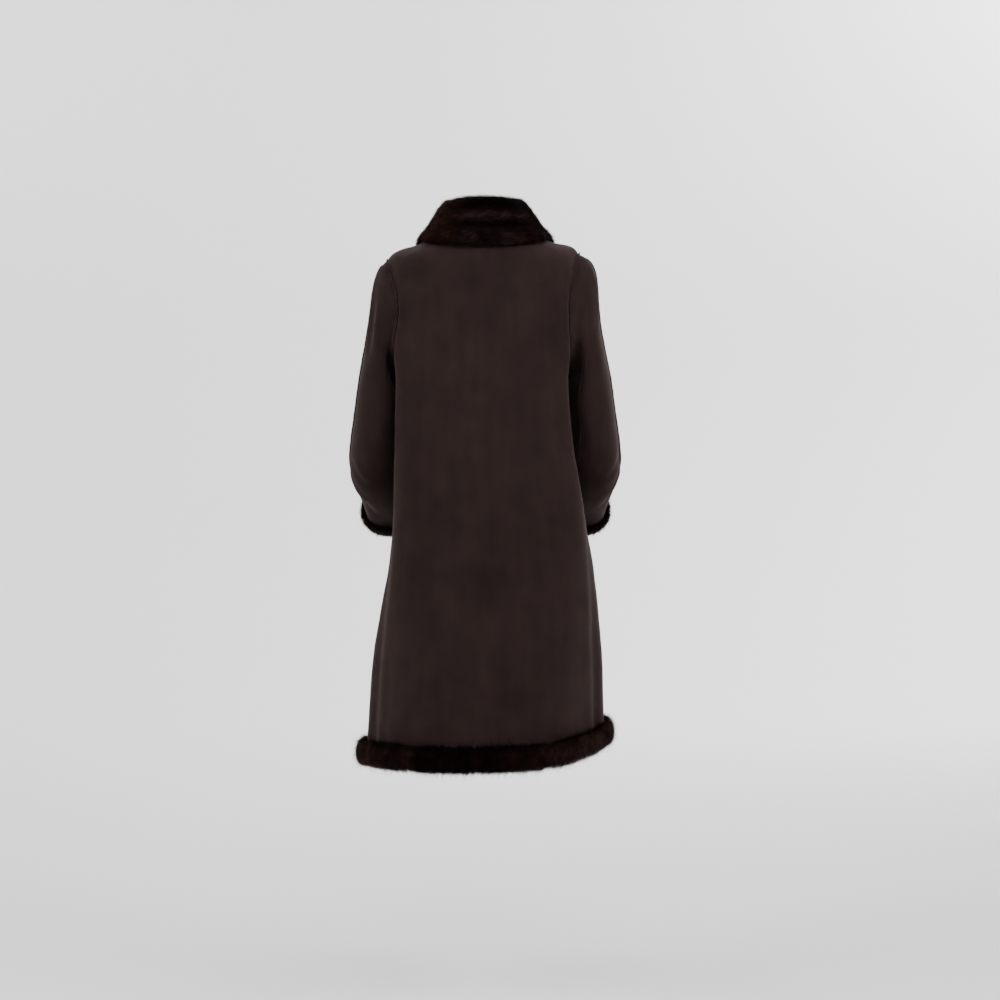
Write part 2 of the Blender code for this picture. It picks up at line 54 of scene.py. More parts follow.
# Going round the body, q is 0 at the centre back, 1 at the shoulder blade, 2 at the corner where
# the back turns to the side, 3 at the side seam, 4 at the chest and 5 at the centre front; a
# negative q is the wearer's right. Going up it, station counts the rows of BODY.
Section = namedtuple(
    "Section",
    "back_z left_z right_z front_z back_y corner_y left_corner right_corner "
    "left_side right_side chest_x chest_y front_y",
)
BODY = (
    Section(  # hem
        -1.002, -1.008, -0.963, -0.995,
        0.206, 0.103, 0.200, 0.202, 0.230, 0.229, 0.160, -0.134, -0.190,
    ),
    Section(  # knee
        -0.800, -0.802, -0.796, -0.800,
        0.190, 0.098, 0.190, 0.199, 0.216, 0.226, 0.150, -0.128, -0.180,
    ),
    Section(  # thigh
        -0.620, -0.620, -0.620, -0.620,
        0.168, 0.094, 0.176, 0.195, 0.184, 0.206, 0.137, -0.118, -0.166,
    ),
    Section(  # hip
        -0.500, -0.500, -0.500, -0.500,
        0.152, 0.088, 0.175, 0.189, 0.166, 0.172, 0.122, -0.112, -0.156,
    ),
    Section(  # waist
        -0.380, -0.380, -0.380, -0.380,
        0.140, 0.085, 0.174, 0.170, 0.157, 0.153, 0.118, -0.108, -0.147,
    ),
    Section(  # underarm
        -0.245, -0.245, -0.245, -0.245,
        0.132, 0.084, 0.173, 0.161, 0.150, 0.147, 0.119, -0.104, -0.143,
    ),
    Section(  # shoulder blades
        -0.130, -0.130, -0.130, -0.150,
        0.126, 0.072, 0.170, 0.166, 0.194, 0.188, 0.142, -0.074, -0.137,
    ),
    Section(  # shoulder points
        -0.045, -0.022, -0.009, -0.095,
        0.109, 0.062, 0.168, 0.162, 0.193, 0.186, 0.150, -0.064, -0.123,
    ),
    Section(  # yoke
        0.000, 0.009, 0.013, -0.072,
        0.095, 0.055, 0.115, 0.114, 0.132, 0.131, 0.104, -0.060, -0.107,
    ),
    Section(  # neck seam
        0.036, 0.032, 0.034, -0.050,
        0.073, 0.042, 0.072, 0.072, 0.083, 0.083, 0.064, -0.056, -0.087,
    ),
)
HEM, UNDERARM, BLADES, SHOULDER, NECK = 0, 5, 6, 7, 9
STAND_TOP = Section(
    0.085, 0.078, 0.080, -0.022,
    0.065, 0.039, 0.060, 0.057, 0.071, 0.066, 0.055, -0.053, -0.091,
)
SIDE_Y = -0.005
BLADE_X_SHARE, BLADE_Y_SHARE = 0.58, 0.20
HEIGHT_BLEND = (1.0, 0.85, 0.45, 0.0, 0.5, 1.0)

# Folds run up from the hem and die away: place on the section, half width there, how far they
# stand out, and the stations where they start and end. The first eight are in the solids too.
Fold = namedtuple("Fold", "q half_width depth low high")
FOLDS = (
    Fold(-2.55, 0.42, 0.008, HEM, 3.1),
    Fold(2.62, 0.40, 0.006, HEM, 2.8),
    Fold(-1.05, 0.60, 0.004, HEM, 2.4),
    Fold(0.55, 0.60, 0.003, HEM, 2.0),
    Fold(3.75, 0.40, 0.008, HEM, 3.0),
    Fold(-3.80, 0.40, 0.009, HEM, 3.3),
    Fold(-4.45, 0.30, 0.005, HEM, 2.2),
    Fold(4.50, 0.30, 0.006, HEM, 2.4),
    Fold(2.34, 0.13, -0.0030, 0.2, 2.9),
    Fold(2.08, 0.12, 0.0025, 0.2, 2.9),
    Fold(-2.28, 0.12, -0.0036, 0.0, 3.0),
    Fold(-2.05, 0.12, 0.0025, 0.0, 3.2),
    Fold(1.35, 0.30, -0.0015, 0.0, 2.6),
    Fold(-0.30, 0.30, -0.0015, 0.0, 1.9),
)


def stretch_and_pull(t, last):
    """Which stretch of a smooth curve t lies on, and how strongly its four points pull there."""
    i = np.clip(np.floor(t).astype(int), 0, last - 1)
    f = t - i
    pull = (
        (-f + 2 * f**2 - f**3) / 2,
        (2 - 5 * f**2 + 3 * f**3) / 2,
        (f + 4 * f**2 - 3 * f**3) / 2,
        (f**3 - f**2) / 2,
    )
    return i, pull


def run_on(values):
    """The values with one more at each end, in a straight line."""
    return np.concatenate([[2 * values[0] - values[1]], values, [2 * values[-1] - values[-2]]])


def through(values, t):
    """Points at places t of a smooth curve through values, which lie at 0, 1, 2 and so on."""
    values = np.asarray(values, float)
    longer = run_on(values)
    i, pull = stretch_and_pull(np.asarray(t, float), len(values) - 1)
    return sum(pull[k][..., None] * longer[i + k] for k in range(4))


def unit(vectors):
    """The vectors, made one long."""
    return vectors / np.linalg.norm(vectors, axis=-1, keepdims=True)


def section_points(row):
    """A section's points for q from -6 to 6; past the centre front lies the other side's chest."""
    found = {}
    for side, corner, flank, side_z in (
        (1, row.left_corner, row.left_side, row.left_z),
        (-1, row.right_corner, row.right_side, row.right_z),
    ):
        blade_y = row.back_y + (row.corner_y - row.back_y) * BLADE_Y_SHARE
        shape = (
            (0.0, row.back_y, row.back_z),
            (corner * BLADE_X_SHARE, blade_y, row.back_z),
            (corner, row.corner_y, row.back_z),
            (flank, SIDE_Y, side_z),
            (row.chest_x, row.chest_y, row.front_z),
            (0.0, row.front_y, row.front_z),
        )
        for q, (x, y, end_z) in enumerate(shape):
            z = side_z + (end_z - side_z) * HEIGHT_BLEND[q]
            found[side * q] = (side * x, y, z)
    found[6], found[-6] = found[-4], found[4]
    return np.array([found[q] for q in range(-6, 7)])


BODY_NET = run_on(np.array([section_points(row) for row in BODY]))
BODY_NET = np.swapaxes(run_on(np.swapaxes(BODY_NET, 0, 1)), 0, 1)


def body_point(q, station):
    """Points of the suede's outer face."""
    q, station = np.broadcast_arrays(np.asarray(q, float), np.asarray(station, float))
    i, pull_up = stretch_and_pull(station, len(BODY) - 1)
    j, pull_round = stretch_and_pull(q + 6, 12)
    place = 0
    for a in range(4):
        for b in range(4):
            place = place + (pull_up[a] * pull_round[b])[..., None] * BODY_NET[i + a, j + b]
    depth = 0
    for fold in FOLDS:
        fade = np.clip((fold.high - station) / (fold.high - fold.low), 0, 1)
        fade = fade * fade * (3 - 2 * fade)
        depth = depth + fold.depth * fade * np.exp(-2 * ((q - fold.q) / fold.half_width) ** 2)
    return place + unit(place * (1, 1, 0)) * depth[..., None]


ARMHOLE_BACK_REACH, ARMHOLE_FRONT_REACH = 1.0, 0.92
# One row for each section along an arm; tilt is the arm's angle from straight down, in degrees.
Arm = namedtuple("Arm", "x y z across deep tilt")
SLEEVE = (
    Arm(0.2095, -0.006, -0.280, 0.0440, 0.066, 3),
    Arm(0.2155, -0.008, -0.335, 0.0455, 0.066, 7),
    Arm(0.2205, -0.011, -0.385, 0.0475, 0.065, 16),
    Arm(0.2215, -0.023, -0.426, 0.0485, 0.061, 34),
    Arm(0.2150, -0.056, -0.457, 0.0490, 0.057, 48),
    Arm(0.2035, -0.104, -0.488, 0.0515, 0.053, 53),
    Arm(0.1915, -0.156, -0.524, 0.0540, 0.050, 54),
)
SLEEVE_ROUNDNESS = 2.25
Head = namedtuple("Head", "out down hollow front")
HEADS = {1: Head(0.17, 0.09, 0.011, 0.06), -1: Head(0.26, 0.09, 0.021, 0.0)}
HEAD_OUT_UNDERARM, HEAD_DOWN_UNDERARM, HEAD_DOWN_SIDES = 0.07, 0.01, 0.08
HEAD_ARRIVES_OUT, HEAD_ARRIVES_DOWN = 0.035, (0.05, 0.22)


def armhole_place(turn):
    """Where the armhole runs on the body: turn 0 is its top, pi/2 its back, pi the underarm."""
    reach = np.where(np.sin(turn) > 0, ARMHOLE_BACK_REACH, ARMHOLE_FRONT_REACH)
    return 3 - reach * np.sin(turn), BLADES + np.cos(turn)


def armhole_point(side, turn):
    """Points of the armhole's edge."""
    q, station = armhole_place(turn)
    return body_point(side * q, station)


def arm_point(side, turn, place):
    """Points of a sleeve: turn 0 is its outer seam, pi/2 its back; place counts SLEEVE's rows."""
    turn, place = np.broadcast_arrays(np.asarray(turn, float), np.asarray(place, float))
    x, y, z, wide, deep, tilt = np.moveaxis(through(SLEEVE, place), -1, 0)
    power = 2 / SLEEVE_ROUNDNESS
    across = np.sign(np.cos(turn)) * np.abs(np.cos(turn)) ** power * wide
    back = np.sign(np.sin(turn)) * np.abs(np.sin(turn)) ** power * deep
    tilt = np.radians(tilt)
    return np.stack([side * (x + across), y + back * np.cos(tilt), z - back * np.sin(tilt)], -1)


def cap_point(side, turn, share):
    """Points of a sleeve's head, from the armhole at 0 to the arm's first row at 1."""
    turn, share = np.broadcast_arrays(np.asarray(turn, float), np.asarray(share, float))
    head = HEADS[side]
    top = (1 + np.cos(turn)) / 2
    out = HEAD_OUT_UNDERARM + (head.out - HEAD_OUT_UNDERARM) * top
    out = out + head.front * np.maximum(0, -np.sin(turn))
    down = HEAD_DOWN_UNDERARM + (head.down - HEAD_DOWN_UNDERARM) * top
    down = down + HEAD_DOWN_SIDES * np.sin(turn) ** 2
    leave = np.stack([side * out, 0 * out, -down], -1)
    low, more = HEAD_ARRIVES_DOWN
    arrive = np.stack([side * HEAD_ARRIVES_OUT * top, 0 * top, -(low + more * top)], -1)
    s = share[..., None]
    place = (
        armhole_point(side, turn) * (2 * s**3 - 3 * s**2 + 1)
        + leave * (s**3 - 2 * s**2 + s)
        + arm_point(side, turn, 0) * (3 * s**2 - 2 * s**3)
        + arrive * (s**3 - s**2)
    )
    place[..., 0] -= side * head.hollow * top * top * np.sin(math.pi * share) ** 2
    return place


def closer_at_ends(count, squeeze):
    """Places from 0 to 1 that lie closer together at both ends, where the seams are."""
    t = np.linspace(0, 1, count + 1)
    return t - squeeze * np.sin(2 * math.pi * t) / (2 * math.pi)


SKIRT_STEPS, ARMHOLE_HALF, YOKE_STEPS = 130, 44, 26
BACK_COLUMNS, FRONT_COLUMNS = 84, 50
FRONT_EDGE_AT_NECK, FRONT_EDGE_AT_HEM = 5.0, 4.975
HEAD_STEPS, HEAD_CROWDS, ARM_STEPS, SLEEVE_HALF = 46, 1.25, 62, ARMHOLE_HALF
STAND_STEPS = 12
SKIRT_SQUEEZE, BACK_SQUEEZE, FRONT_SQUEEZE = 0.3, 0.6, 0.5
SKIRT_STATIONS = closer_at_ends(SKIRT_STEPS, SKIRT_SQUEEZE) * UNDERARM
ARMHOLE_TURNS = np.linspace(math.pi, 0, ARMHOLE_HALF + 1)
YOKE_STATIONS = np.linspace(SHOULDER, NECK, YOKE_STEPS + 1)


def panel_rows(front):
    """Each row of a body panel: its station, and q of its outer edge."""
    turns = 2 * math.pi - ARMHOLE_TURNS if front else ARMHOLE_TURNS
    edges, stations = armhole_place(turns)
    station = np.concatenate([SKIRT_STATIONS[:-1], stations, YOKE_STATIONS[1:]])
    edge = np.concatenate([0 * SKIRT_STATIONS[:-1] + 3, edges, 0 * YOKE_STATIONS[1:] + 3])
    return station[:, None], edge[:, None]


def back_places():
    """The back's grid: q and station of each point."""
    station, edge = panel_rows(front=False)
    share = 2 * closer_at_ends(BACK_COLUMNS, BACK_SQUEEZE) - 1
    return share * edge, station + 0 * share


def front_places(side):
    """A front's grid. Columns run the way q grows: from the side seam on the left, to it on the
    right."""
    station, edge = panel_rows(front=True)
    middle = FRONT_EDGE_AT_HEM + (FRONT_EDGE_AT_NECK - FRONT_EDGE_AT_HEM) * station / NECK
    share = closer_at_ends(FRONT_COLUMNS, FRONT_SQUEEZE)
    q = side * (edge + (middle - edge) * share)
    return q[:, ::side], station + 0 * share


def sleeve_points(side, first_turn):
    """Half a sleeve, from the armhole to the cuff."""
    turns = first_turn + np.linspace(0, math.pi, SLEEVE_HALF + 1)
    shares = np.linspace(0, 1, HEAD_STEPS + 1)[:-1] ** HEAD_CROWDS
    head = cap_point(side, turns[None, :], shares[:, None])
    arm = arm_point(side, turns[None, :], np.linspace(0, len(SLEEVE) - 1, ARM_STEPS + 1)[:, None])
    return np.concatenate([head, arm])


def stand_points():
    """The collar's stand, from the neck seam up."""
    back_q = back_places()[0][-1]
    left_q = front_places(1)[0][-1]
    q = np.concatenate([-left_q[::-1], back_q[1:], left_q[1:]])
    foot = body_point(q, NECK + 0 * q)
    top = through(section_points(STAND_TOP), q + 6)
    share = np.linspace(0, 1, STAND_STEPS + 1)[:, None, None]
    return foot + (top - foot) * share


def grid_normals(points, facing):
    """Outward normals of a grid of points."""
    up = np.gradient(points, axis=0)
    across = np.gradient(points, axis=1)
    return unit(np.cross(up, across) * facing)


WAVES, WAVES_GAIN = 14, 1.6


def wander(points, size, seed):
    """Smooth, even wandering between about -1 and 1 over lengths of about size."""
    draw = np.random.default_rng(seed)
    waves = unit(draw.normal(size=(WAVES, 3))) * (2 * math.pi / size)
    waves *= draw.uniform(0.6, 1.5, (WAVES, 1))
    phase = draw.uniform(0, 2 * math.pi, WAVES)
    return np.sin(points @ waves.T + phase).sum(-1) * (WAVES_GAIN / WAVES)


CREASE_STEPS = 24


def crease_depth(points, path, half_width, depth):
    """A soft trough or ridge along a path of points, deepest at its middle."""
    path = through(path, np.linspace(0, len(path) - 1, CREASE_STEPS + 1))
    nearest = np.full(points.shape[:-1], 1e9)
    fade = np.zeros(points.shape[:-1])
    for k in range(CREASE_STEPS):
        run = path[k + 1] - path[k]
        t = np.clip(((points - path[k]) @ run) / (run @ run), 0, 1)
        apart = np.linalg.norm(points - path[k] - t[..., None] * run, axis=-1)
        closer = apart < nearest
        nearest = np.where(closer, apart, nearest)
        fade = np.where(closer, np.sin(math.pi * (k + t) / CREASE_STEPS), fade)
    return depth * fade**0.7 * np.exp(-((nearest / half_width) ** 2))


# Creases lie along a path and stand out by depth. The body's paths are of (q, station).
Crease = namedtuple("Crease", "path half_width depth")
BODY_CREASES = (
    Crease(((1.9, 6.9), (1.5, 6.6), (1.2, 6.2)), 0.016, -0.0026),
    Crease(((-2.05, 6.75), (-1.75, 6.4), (-1.55, 5.9)), 0.012, 0.0029),
    Crease(((-1.9, 6.9), (-1.6, 6.6), (-1.35, 6.2)), 0.014, -0.0022),
    Crease(((1.75, 5.6), (1.60, 4.6), (1.66, 3.6)), 0.020, -0.0026),
    Crease(((-1.80, 5.2), (-1.55, 4.2), (-1.72, 3.2)), 0.020, -0.0029),
    Crease(((0.9, 4.3), (0.1, 4.05), (-0.7, 4.2)), 0.030, -0.0019),
    Crease(((-1.2, 3.2), (-1.0, 2.2), (-1.15, 1.2)), 0.022, 0.0022),
    Crease(((0.3, 2.6), (0.45, 1.6), (0.3, 0.7)), 0.024, 0.0019),
    Crease(((3.9, 6.8), (4.1, 6.2), (4.05, 5.4)), 0.016, -0.0029),
    Crease(((-3.9, 6.8), (-4.15, 6.2), (-4.0, 5.3)), 0.016, -0.0032),
    Crease(((4.2, 4.6), (4.1, 3.6), (4.2, 2.4)), 0.018, 0.0029),
    Crease(((-4.1, 4.8), (-4.2, 3.6), (-4.1, 2.6)), 0.018, 0.0029),
    Crease(((3.3, 4.7), (3.6, 4.1), (4.2, 3.9)), 0.018, -0.0029),
    Crease(((-3.2, 4.6), (-3.6, 4.2), (-4.3, 3.8)), 0.018, -0.0029),
    Crease(((2.0, 6.5), (1.86, 6.0), (2.02, 5.4), (2.2, 4.9)), 0.013, 0.0045),
    Crease(((-2.0, 6.4), (-1.86, 5.9), (-2.0, 5.3), (-2.2, 4.9)), 0.013, 0.0045),
)
# The sleeves' paths are of (turn in degrees, place), where places under 0 are on the head.
SLEEVE_CREASES = {
    1: (
        Crease(((55, -0.90), (95, -0.86), (130, -0.82), (170, -0.80)), 0.014, -0.0090),
        Crease(((112, -0.80), (142, -0.35), (154, 0.4), (154, 1.3)), 0.011, -0.0100),
        Crease(((15, -0.93), (22, -0.60), (26, -0.25)), 0.009, 0.0035),
        Crease(((40, -0.90), (44, -0.55), (46, -0.20)), 0.010, -0.0038),
        Crease(((60, -0.95), (75, -0.70), (100, -0.40)), 0.010, -0.0035),
        Crease(((35, -0.90), (50, -0.62), (70, -0.35)), 0.010, 0.0032),
        Crease(((20, 2.4), (50, 3.0), (80, 3.3)), 0.011, -0.0038),
        Crease(((5, 3.0), (30, 3.8), (60, 4.3)), 0.010, 0.0045),
        Crease(((15, 3.6), (45, 4.5), (70, 5.2)), 0.011, -0.0035),
        Crease(((110, 1.2), (130, 2.1), (150, 2.7)), 0.013, -0.0035),
        Crease(((200, 2.2), (235, 2.9), (275, 3.1)), 0.012, -0.0045),
        Crease(((210, 2.8), (245, 3.4), (290, 3.6)), 0.012, -0.0064),
        Crease(((215, 1.6), (250, 2.2), (300, 2.4)), 0.013, -0.0048),
        Crease(((225, 3.4), (260, 4.0), (300, 4.3)), 0.012, -0.0045),
        Crease(((290, -0.6), (270, 0.1), (250, 0.8)), 0.014, -0.0035),
        Crease(((140, 0.0), (120, 0.9), (100, 1.7)), 0.016, 0.0029),
    ),
    -1: (
        Crease(((50, -0.90), (90, -0.86), (130, -0.82), (170, -0.80)), 0.015, -0.0100),
        Crease(((112, -0.85), (140, -0.40), (150, 0.4), (150, 1.4), (148, 2.6)), 0.016, -0.0170),
        Crease(((50, -0.92), (68, -0.66), (95, -0.35)), 0.010, -0.0032),
        Crease(((25, -0.90), (30, -0.66), (40, -0.40)), 0.010, 0.0035),
        Crease(((10, 2.3), (40, 2.8), (75, 3.0)), 0.011, -0.0035),
        Crease(((0, 2.9), (22, 3.5), (50, 4.0)), 0.010, 0.0042),
        Crease(((12, 3.4), (38, 4.2), (66, 4.8)), 0.011, -0.0035),
        Crease(((115, 1.0), (130, 1.9), (145, 2.6)), 0.013, -0.0035),
        Crease(((195, 2.0), (240, 2.7), (280, 2.9)), 0.012, -0.0045),
        Crease(((205, 2.7), (245, 3.2), (295, 3.4)), 0.012, -0.0064),
        Crease(((215, 1.5), (255, 2.0), (300, 2.3)), 0.013, -0.0051),
        Crease(((220, 3.3), (265, 3.8), (305, 4.2)), 0.012, -0.0045),
        Crease(((300, -0.6), (275, 0.1), (255, 0.9)), 0.014, -0.0035),
        Crease(((135, 0.1), (115, 1.0), (95, 1.8)), 0.016, 0.0026),
    ),
}
RIPPLES = ((0.0010, 0.11), (0.0004, 0.045))  # how high, and over what length
# Within these distances of a seam the cloth dips, and stays on its smooth form.
SEAM_DIP, SEAM_DIP_WIDTH, SEAM_HOLD = 0.0010, 0.0035, 0.006
PUCKER, PUCKER_LENGTH, PUCKER_REACH, PUCKER_SEED = 0.0007, 0.022, 0.020, 90


def sleeve_place(side, turn, place):
    """A point of a sleeve's crease, on the head or on the arm."""
    turn = math.radians(turn)
    return cap_point(side, turn, place + 1) if place < 0 else arm_point(side, turn, place)


def edge_distances(points):
    """How far each point of a grid lies from the grid's first and last rows and columns."""

    def from_first(axis):
        steps = np.linalg.norm(np.diff(points, axis=axis), axis=-1)
        return np.concatenate([0 * steps.take([0], axis), np.cumsum(steps, axis)], axis)

    down, over = from_first(0), from_first(1)
    return down, down[-1:] - down, over, over[:, -1:] - over


def relief(points, creases, where, seams, seed):
    """How far the cloth stands out of its smooth form: ripples, creases and puckered seams."""
    total = sum(high * wander(points, size, seed + k) for k, (high, size) in enumerate(RIPPLES))
    for crease in creases:
        path = np.array([where(*place) for place in crease.path])
        total += crease_depth(points, path, crease.half_width, crease.depth)
    distances = edge_distances(points)
    apart = np.min([distances[k] for k in seams], axis=0)
    near = np.exp(-apart / PUCKER_REACH)
    total += PUCKER * near * wander(points, PUCKER_LENGTH, PUCKER_SEED)
    # The form's own edge stays put, so that neighbours still meet.
    total *= 1 - np.exp(-((apart / SEAM_HOLD) ** 2))
    return total - SEAM_DIP * np.exp(-((apart / SEAM_DIP_WIDTH) ** 2)), near


Panel = namedtuple("Panel", "name points facing relief near")
panels = []


def lay_out(name, points, facing, creases, where, seams, seed):
    """Keep a panel's smooth form and its relief until all panels are known."""
    height, near = relief(points, creases, where, seams, seed)
    panels.append(Panel(name, points, facing, height, near))


BOTTOM, TOP, FIRST, LAST = range(4)
lay_out("back", body_point(*back_places()), 1, BODY_CREASES, body_point, (TOP, FIRST, LAST), 1)
for side, word in ((1, "left"), (-1, "right")):
    outer = FIRST if side > 0 else LAST
    points = body_point(*front_places(side))
    lay_out(f"front_{word}", points, 1, BODY_CREASES, body_point, (TOP, outer), 1)
lay_out("collar_stand", stand_points(), 1, (), body_point, (BOTTOM,), 4)
for side, word in ((1, "left"), (-1, "right")):
    for part, first_turn in (("back", 0), ("front", math.pi)):
        lay_out(
            f"sleeve_{part}_{word}", sleeve_points(side, first_turn), side, SLEEVE_CREASES[side],
            partial(sleeve_place, side), (BOTTOM, FIRST, LAST), 7,
        )


SAME_PLACE = 0.0004


def shared_normals(panels):
    """Each panel's normals, averaged where the panels meet so that their walls do too."""
    own = [grid_normals(panel.points, panel.facing) for panel in panels]
    places = np.concatenate([panel.points.reshape(-1, 3) for panel in panels])
    normals = np.concatenate([n.reshape(-1, 3) for n in own])
    tree = kdtree.KDTree(len(places))
    for k, place in enumerate(places):
        tree.insert(place, k)
    tree.balance()
    shared = []
    for panel, normal in zip(panels, own):
        rows, columns = panel.points.shape[:2]
        made = normal.copy()
        rim = [(i, j) for i in range(rows) for j in (0, columns - 1)]
        rim += [(i, j) for i in (0, rows - 1) for j in range(columns)]
        for i, j in rim:
            met = [k for _, k, _ in tree.find_range(panel.points[i, j], SAME_PLACE)]
            made[i, j] = unit(normals[met].sum(axis=0))
        shared.append(made)
    return shared


def grid_faces(rows, columns, start, facing):
    """Quads over a grid of points numbered from start."""
    i, j = np.meshgrid(np.arange(rows - 1), np.arange(columns - 1), indexing="ij")
    first = (start + i * columns + j).ravel()
    quads = np.stack([first, first + 1, first + columns + 1, first + columns], -1)
    return quads[:, ::-1] if facing > 0 else quads


def make_piece(name, points, faces, finishes, slots=None, attributes=()):
    """A mesh piece with its finishes; attributes are (name, kind, a value for each point)."""
    mesh = bpy.data.meshes.new(name)
    mesh.from_pydata(np.asarray(points).tolist(), [], [list(map(int, f)) for f in faces])
    for finish in finishes:
        mesh.materials.append(finish)
    if slots is not None:
        mesh.polygons.foreach_set("material_index", np.asarray(slots, np.int32))
    for word, kind, values in attributes:
        data = mesh.attributes.new(word, kind, "POINT").data
        field = "vector" if kind == "FLOAT_VECTOR" else "value"
        data.foreach_set(field, np.asarray(values, np.float32).ravel())
    mesh.validate()
    mesh.shade_smooth()
    mesh.update()
    piece = bpy.data.objects.new(name, mesh)
    bpy.context.scene.collection.objects.link(piece)
    return piece


def add_wall(name, outer, inner, facing, finishes, near):
    """A thin closed wall between two grids of points; the second finish is its inner side's."""
    rows, columns = outer.shape[:2]
    half = rows * columns
    points = np.concatenate([outer.reshape(-1, 3), inner.reshape(-1, 3)])
    out_faces = grid_faces(rows, columns, 0, facing)
    in_faces = grid_faces(rows, columns, half, -facing)
    rim = list(range(columns))
    rim += [i * columns + columns - 1 for i in range(1, rows)]
    rim += [(rows - 1) * columns + j for j in range(columns - 2, -1, -1)]
    rim += [i * columns for i in range(rows - 2, 0, -1)]
    rim = np.array(rim if facing < 0 else rim[::-1])
    after = np.roll(rim, -1)
    rim_faces = np.stack([rim, rim + half, after + half, after], -1)
    faces = np.concatenate([out_faces, in_faces, rim_faces])
    slots = np.concatenate([0 * out_faces[:, 0], 0 * in_faces[:, 0] + 1, 0 * rim_faces[:, 0]])
    near = np.concatenate([near.ravel(), near.ravel()])
    return make_piece(name, points, faces, finishes, slots, [("seam", "FLOAT", near)])


def feed(tree, socket, value):
    """Give a socket its value, or a link from another socket."""
    if isinstance(value, bpy.types.NodeSocket):
        tree.links.new(value, socket)
    else:
        socket.default_value = value


def add_node(tree, kind, settings=None, **inputs):
    """A node with its settings, and its inputs by socket name, or by number as _0, _1 and so on."""
    node = tree.nodes.new(kind)
    for word, value in (settings or {}).items():
        setattr(node, word, value)
    for word, value in inputs.items():
        key = int(word[1:]) if word[0] == "_" else word.replace("_", " ")
        feed(tree, node.inputs[key], value)
    return node


def wire(tree, kind, settings=None, **inputs):
    """The first output of such a node."""
    return add_node(tree, kind, settings, **inputs).outputs[0]


def math_node(tree, operation, *values, clamp=False):
    """A sum, product or power of values and sockets."""
    settings = {"operation": operation, "use_clamp": clamp}
    inputs = {f"_{k}": value for k, value in enumerate(values)}
    return wire(tree, "ShaderNodeMath", settings, **inputs)


def noise(tree, place, scale, detail, **more):
    """Clouds from 0 to 1, about scale of them to the metre."""
    values = {"Vector": place, "Scale": scale, "Detail": detail, **more}
    return wire(tree, "ShaderNodeTexNoise", **values)


def attribute(tree, word):
    """A value that the mesh's points carry."""
    return add_node(tree, "ShaderNodeAttribute", {"attribute_name": word}).outputs["Fac"]


def colour_between(tree, factor, low, high):
    """A colour from low to high, each given as a colour or a socket."""
    mix = add_node(tree, "ShaderNodeMix", {"data_type": "RGBA"}, _0=factor)
    for socket, colour in ((mix.inputs[6], low), (mix.inputs[7], high)):
        feed(tree, socket, (*colour, 1) if isinstance(colour, tuple) else colour)
    return mix.outputs[2]


def new_finish(name):
    """A new material: itself, its nodes, its shader, and the place on the piece in metres."""
    finish = bpy.data.materials.new(name)
    finish.use_nodes = True
    tree = finish.node_tree
    place = tree.nodes.new("ShaderNodeTexCoord").outputs["Object"]
    return finish, tree, tree.nodes["Principled BSDF"], place


def set_surface(tree, shader, colour, bump=None, **values):
    """A shader's colour, its bump as (strength, depth, height), and its constant values."""
    tree.links.new(colour, shader.inputs["Base Color"])
    if bump:
        strength, depth, height = bump
        bent = add_node(tree, "ShaderNodeBump", Strength=strength, Distance=depth, Height=height)
        tree.links.new(bent.outputs[0], shader.inputs["Normal"])
    for word, value in values.items():
        shader.inputs[word.replace("_", " ")].default_value = value


def suede_finish():
    """Brushed suede: matte nap, cloudy patches, faint up-and-down brush marks and a fine grain."""
    finish, tree, shader, place = new_finish("brown_suede")
    long_ways = wire(tree, "ShaderNodeMapping", Vector=place, Scale=(55, 55, 4.5))
    patches = noise(tree, place, 5.5, 2.0)
    mottle = noise(tree, place, 19.0, 3.0)
    brushed = noise(tree, long_ways, 1.0, 3.0)
    grain = noise(tree, place, 900.0, 3.0, Roughness=0.7)
    shade = math_node(tree, "MULTIPLY_ADD", patches, 0.65, -0.65)
    for cloud, strength in ((mottle, 0.52), (brushed, 0.40), (grain, 0.35)):
        shade = math_node(tree, "MULTIPLY_ADD", cloud, strength, shade)
    shade = math_node(tree, "MULTIPLY_ADD", attribute(tree, "seam"), -0.10, shade, clamp=True)
    colour = colour_between(tree, shade, (0.0080, 0.0038, 0.0032), (0.0260, 0.0145, 0.0132))
    nap = noise(tree, place, 260.0, 4.0, Roughness=0.65)
    height = math_node(tree, "MULTIPLY_ADD", nap, 0.6, grain)
    set_surface(
        tree, shader, colour, (0.35, 0.0006, height), Roughness=0.92, Specular_IOR_Level=0.12,
        Sheen_Weight=0.09, Sheen_Roughness=0.45, Sheen_Tint=(0.60, 0.42, 0.38, 1),
    )
    return finish


def nap_finish():
    """The short dense fur on the suede's inner side."""
    finish, tree, shader, place = new_finish("inner_nap")
    curls = noise(tree, place, 230.0, 5.0, Distortion=1.2)
    shade = math_node(tree, "MULTIPLY", curls, noise(tree, place, 18.0, 2.0))
    shade = math_node(tree, "MULTIPLY_ADD", shade, 2.4, -0.15, clamp=True)
    colour = colour_between(tree, shade, (0.0030, 0.0012, 0.0010), (0.018, 0.0090, 0.0075))
    set_surface(
        tree, shader, colour, (0.8, 0.0015, curls), Roughness=0.75, Specular_IOR_Level=0.08,
        Sheen_Weight=0.04, Sheen_Tint=(0.5, 0.36, 0.3, 1),
    )
    return finish


suede, nap = suede_finish(), nap_finish()
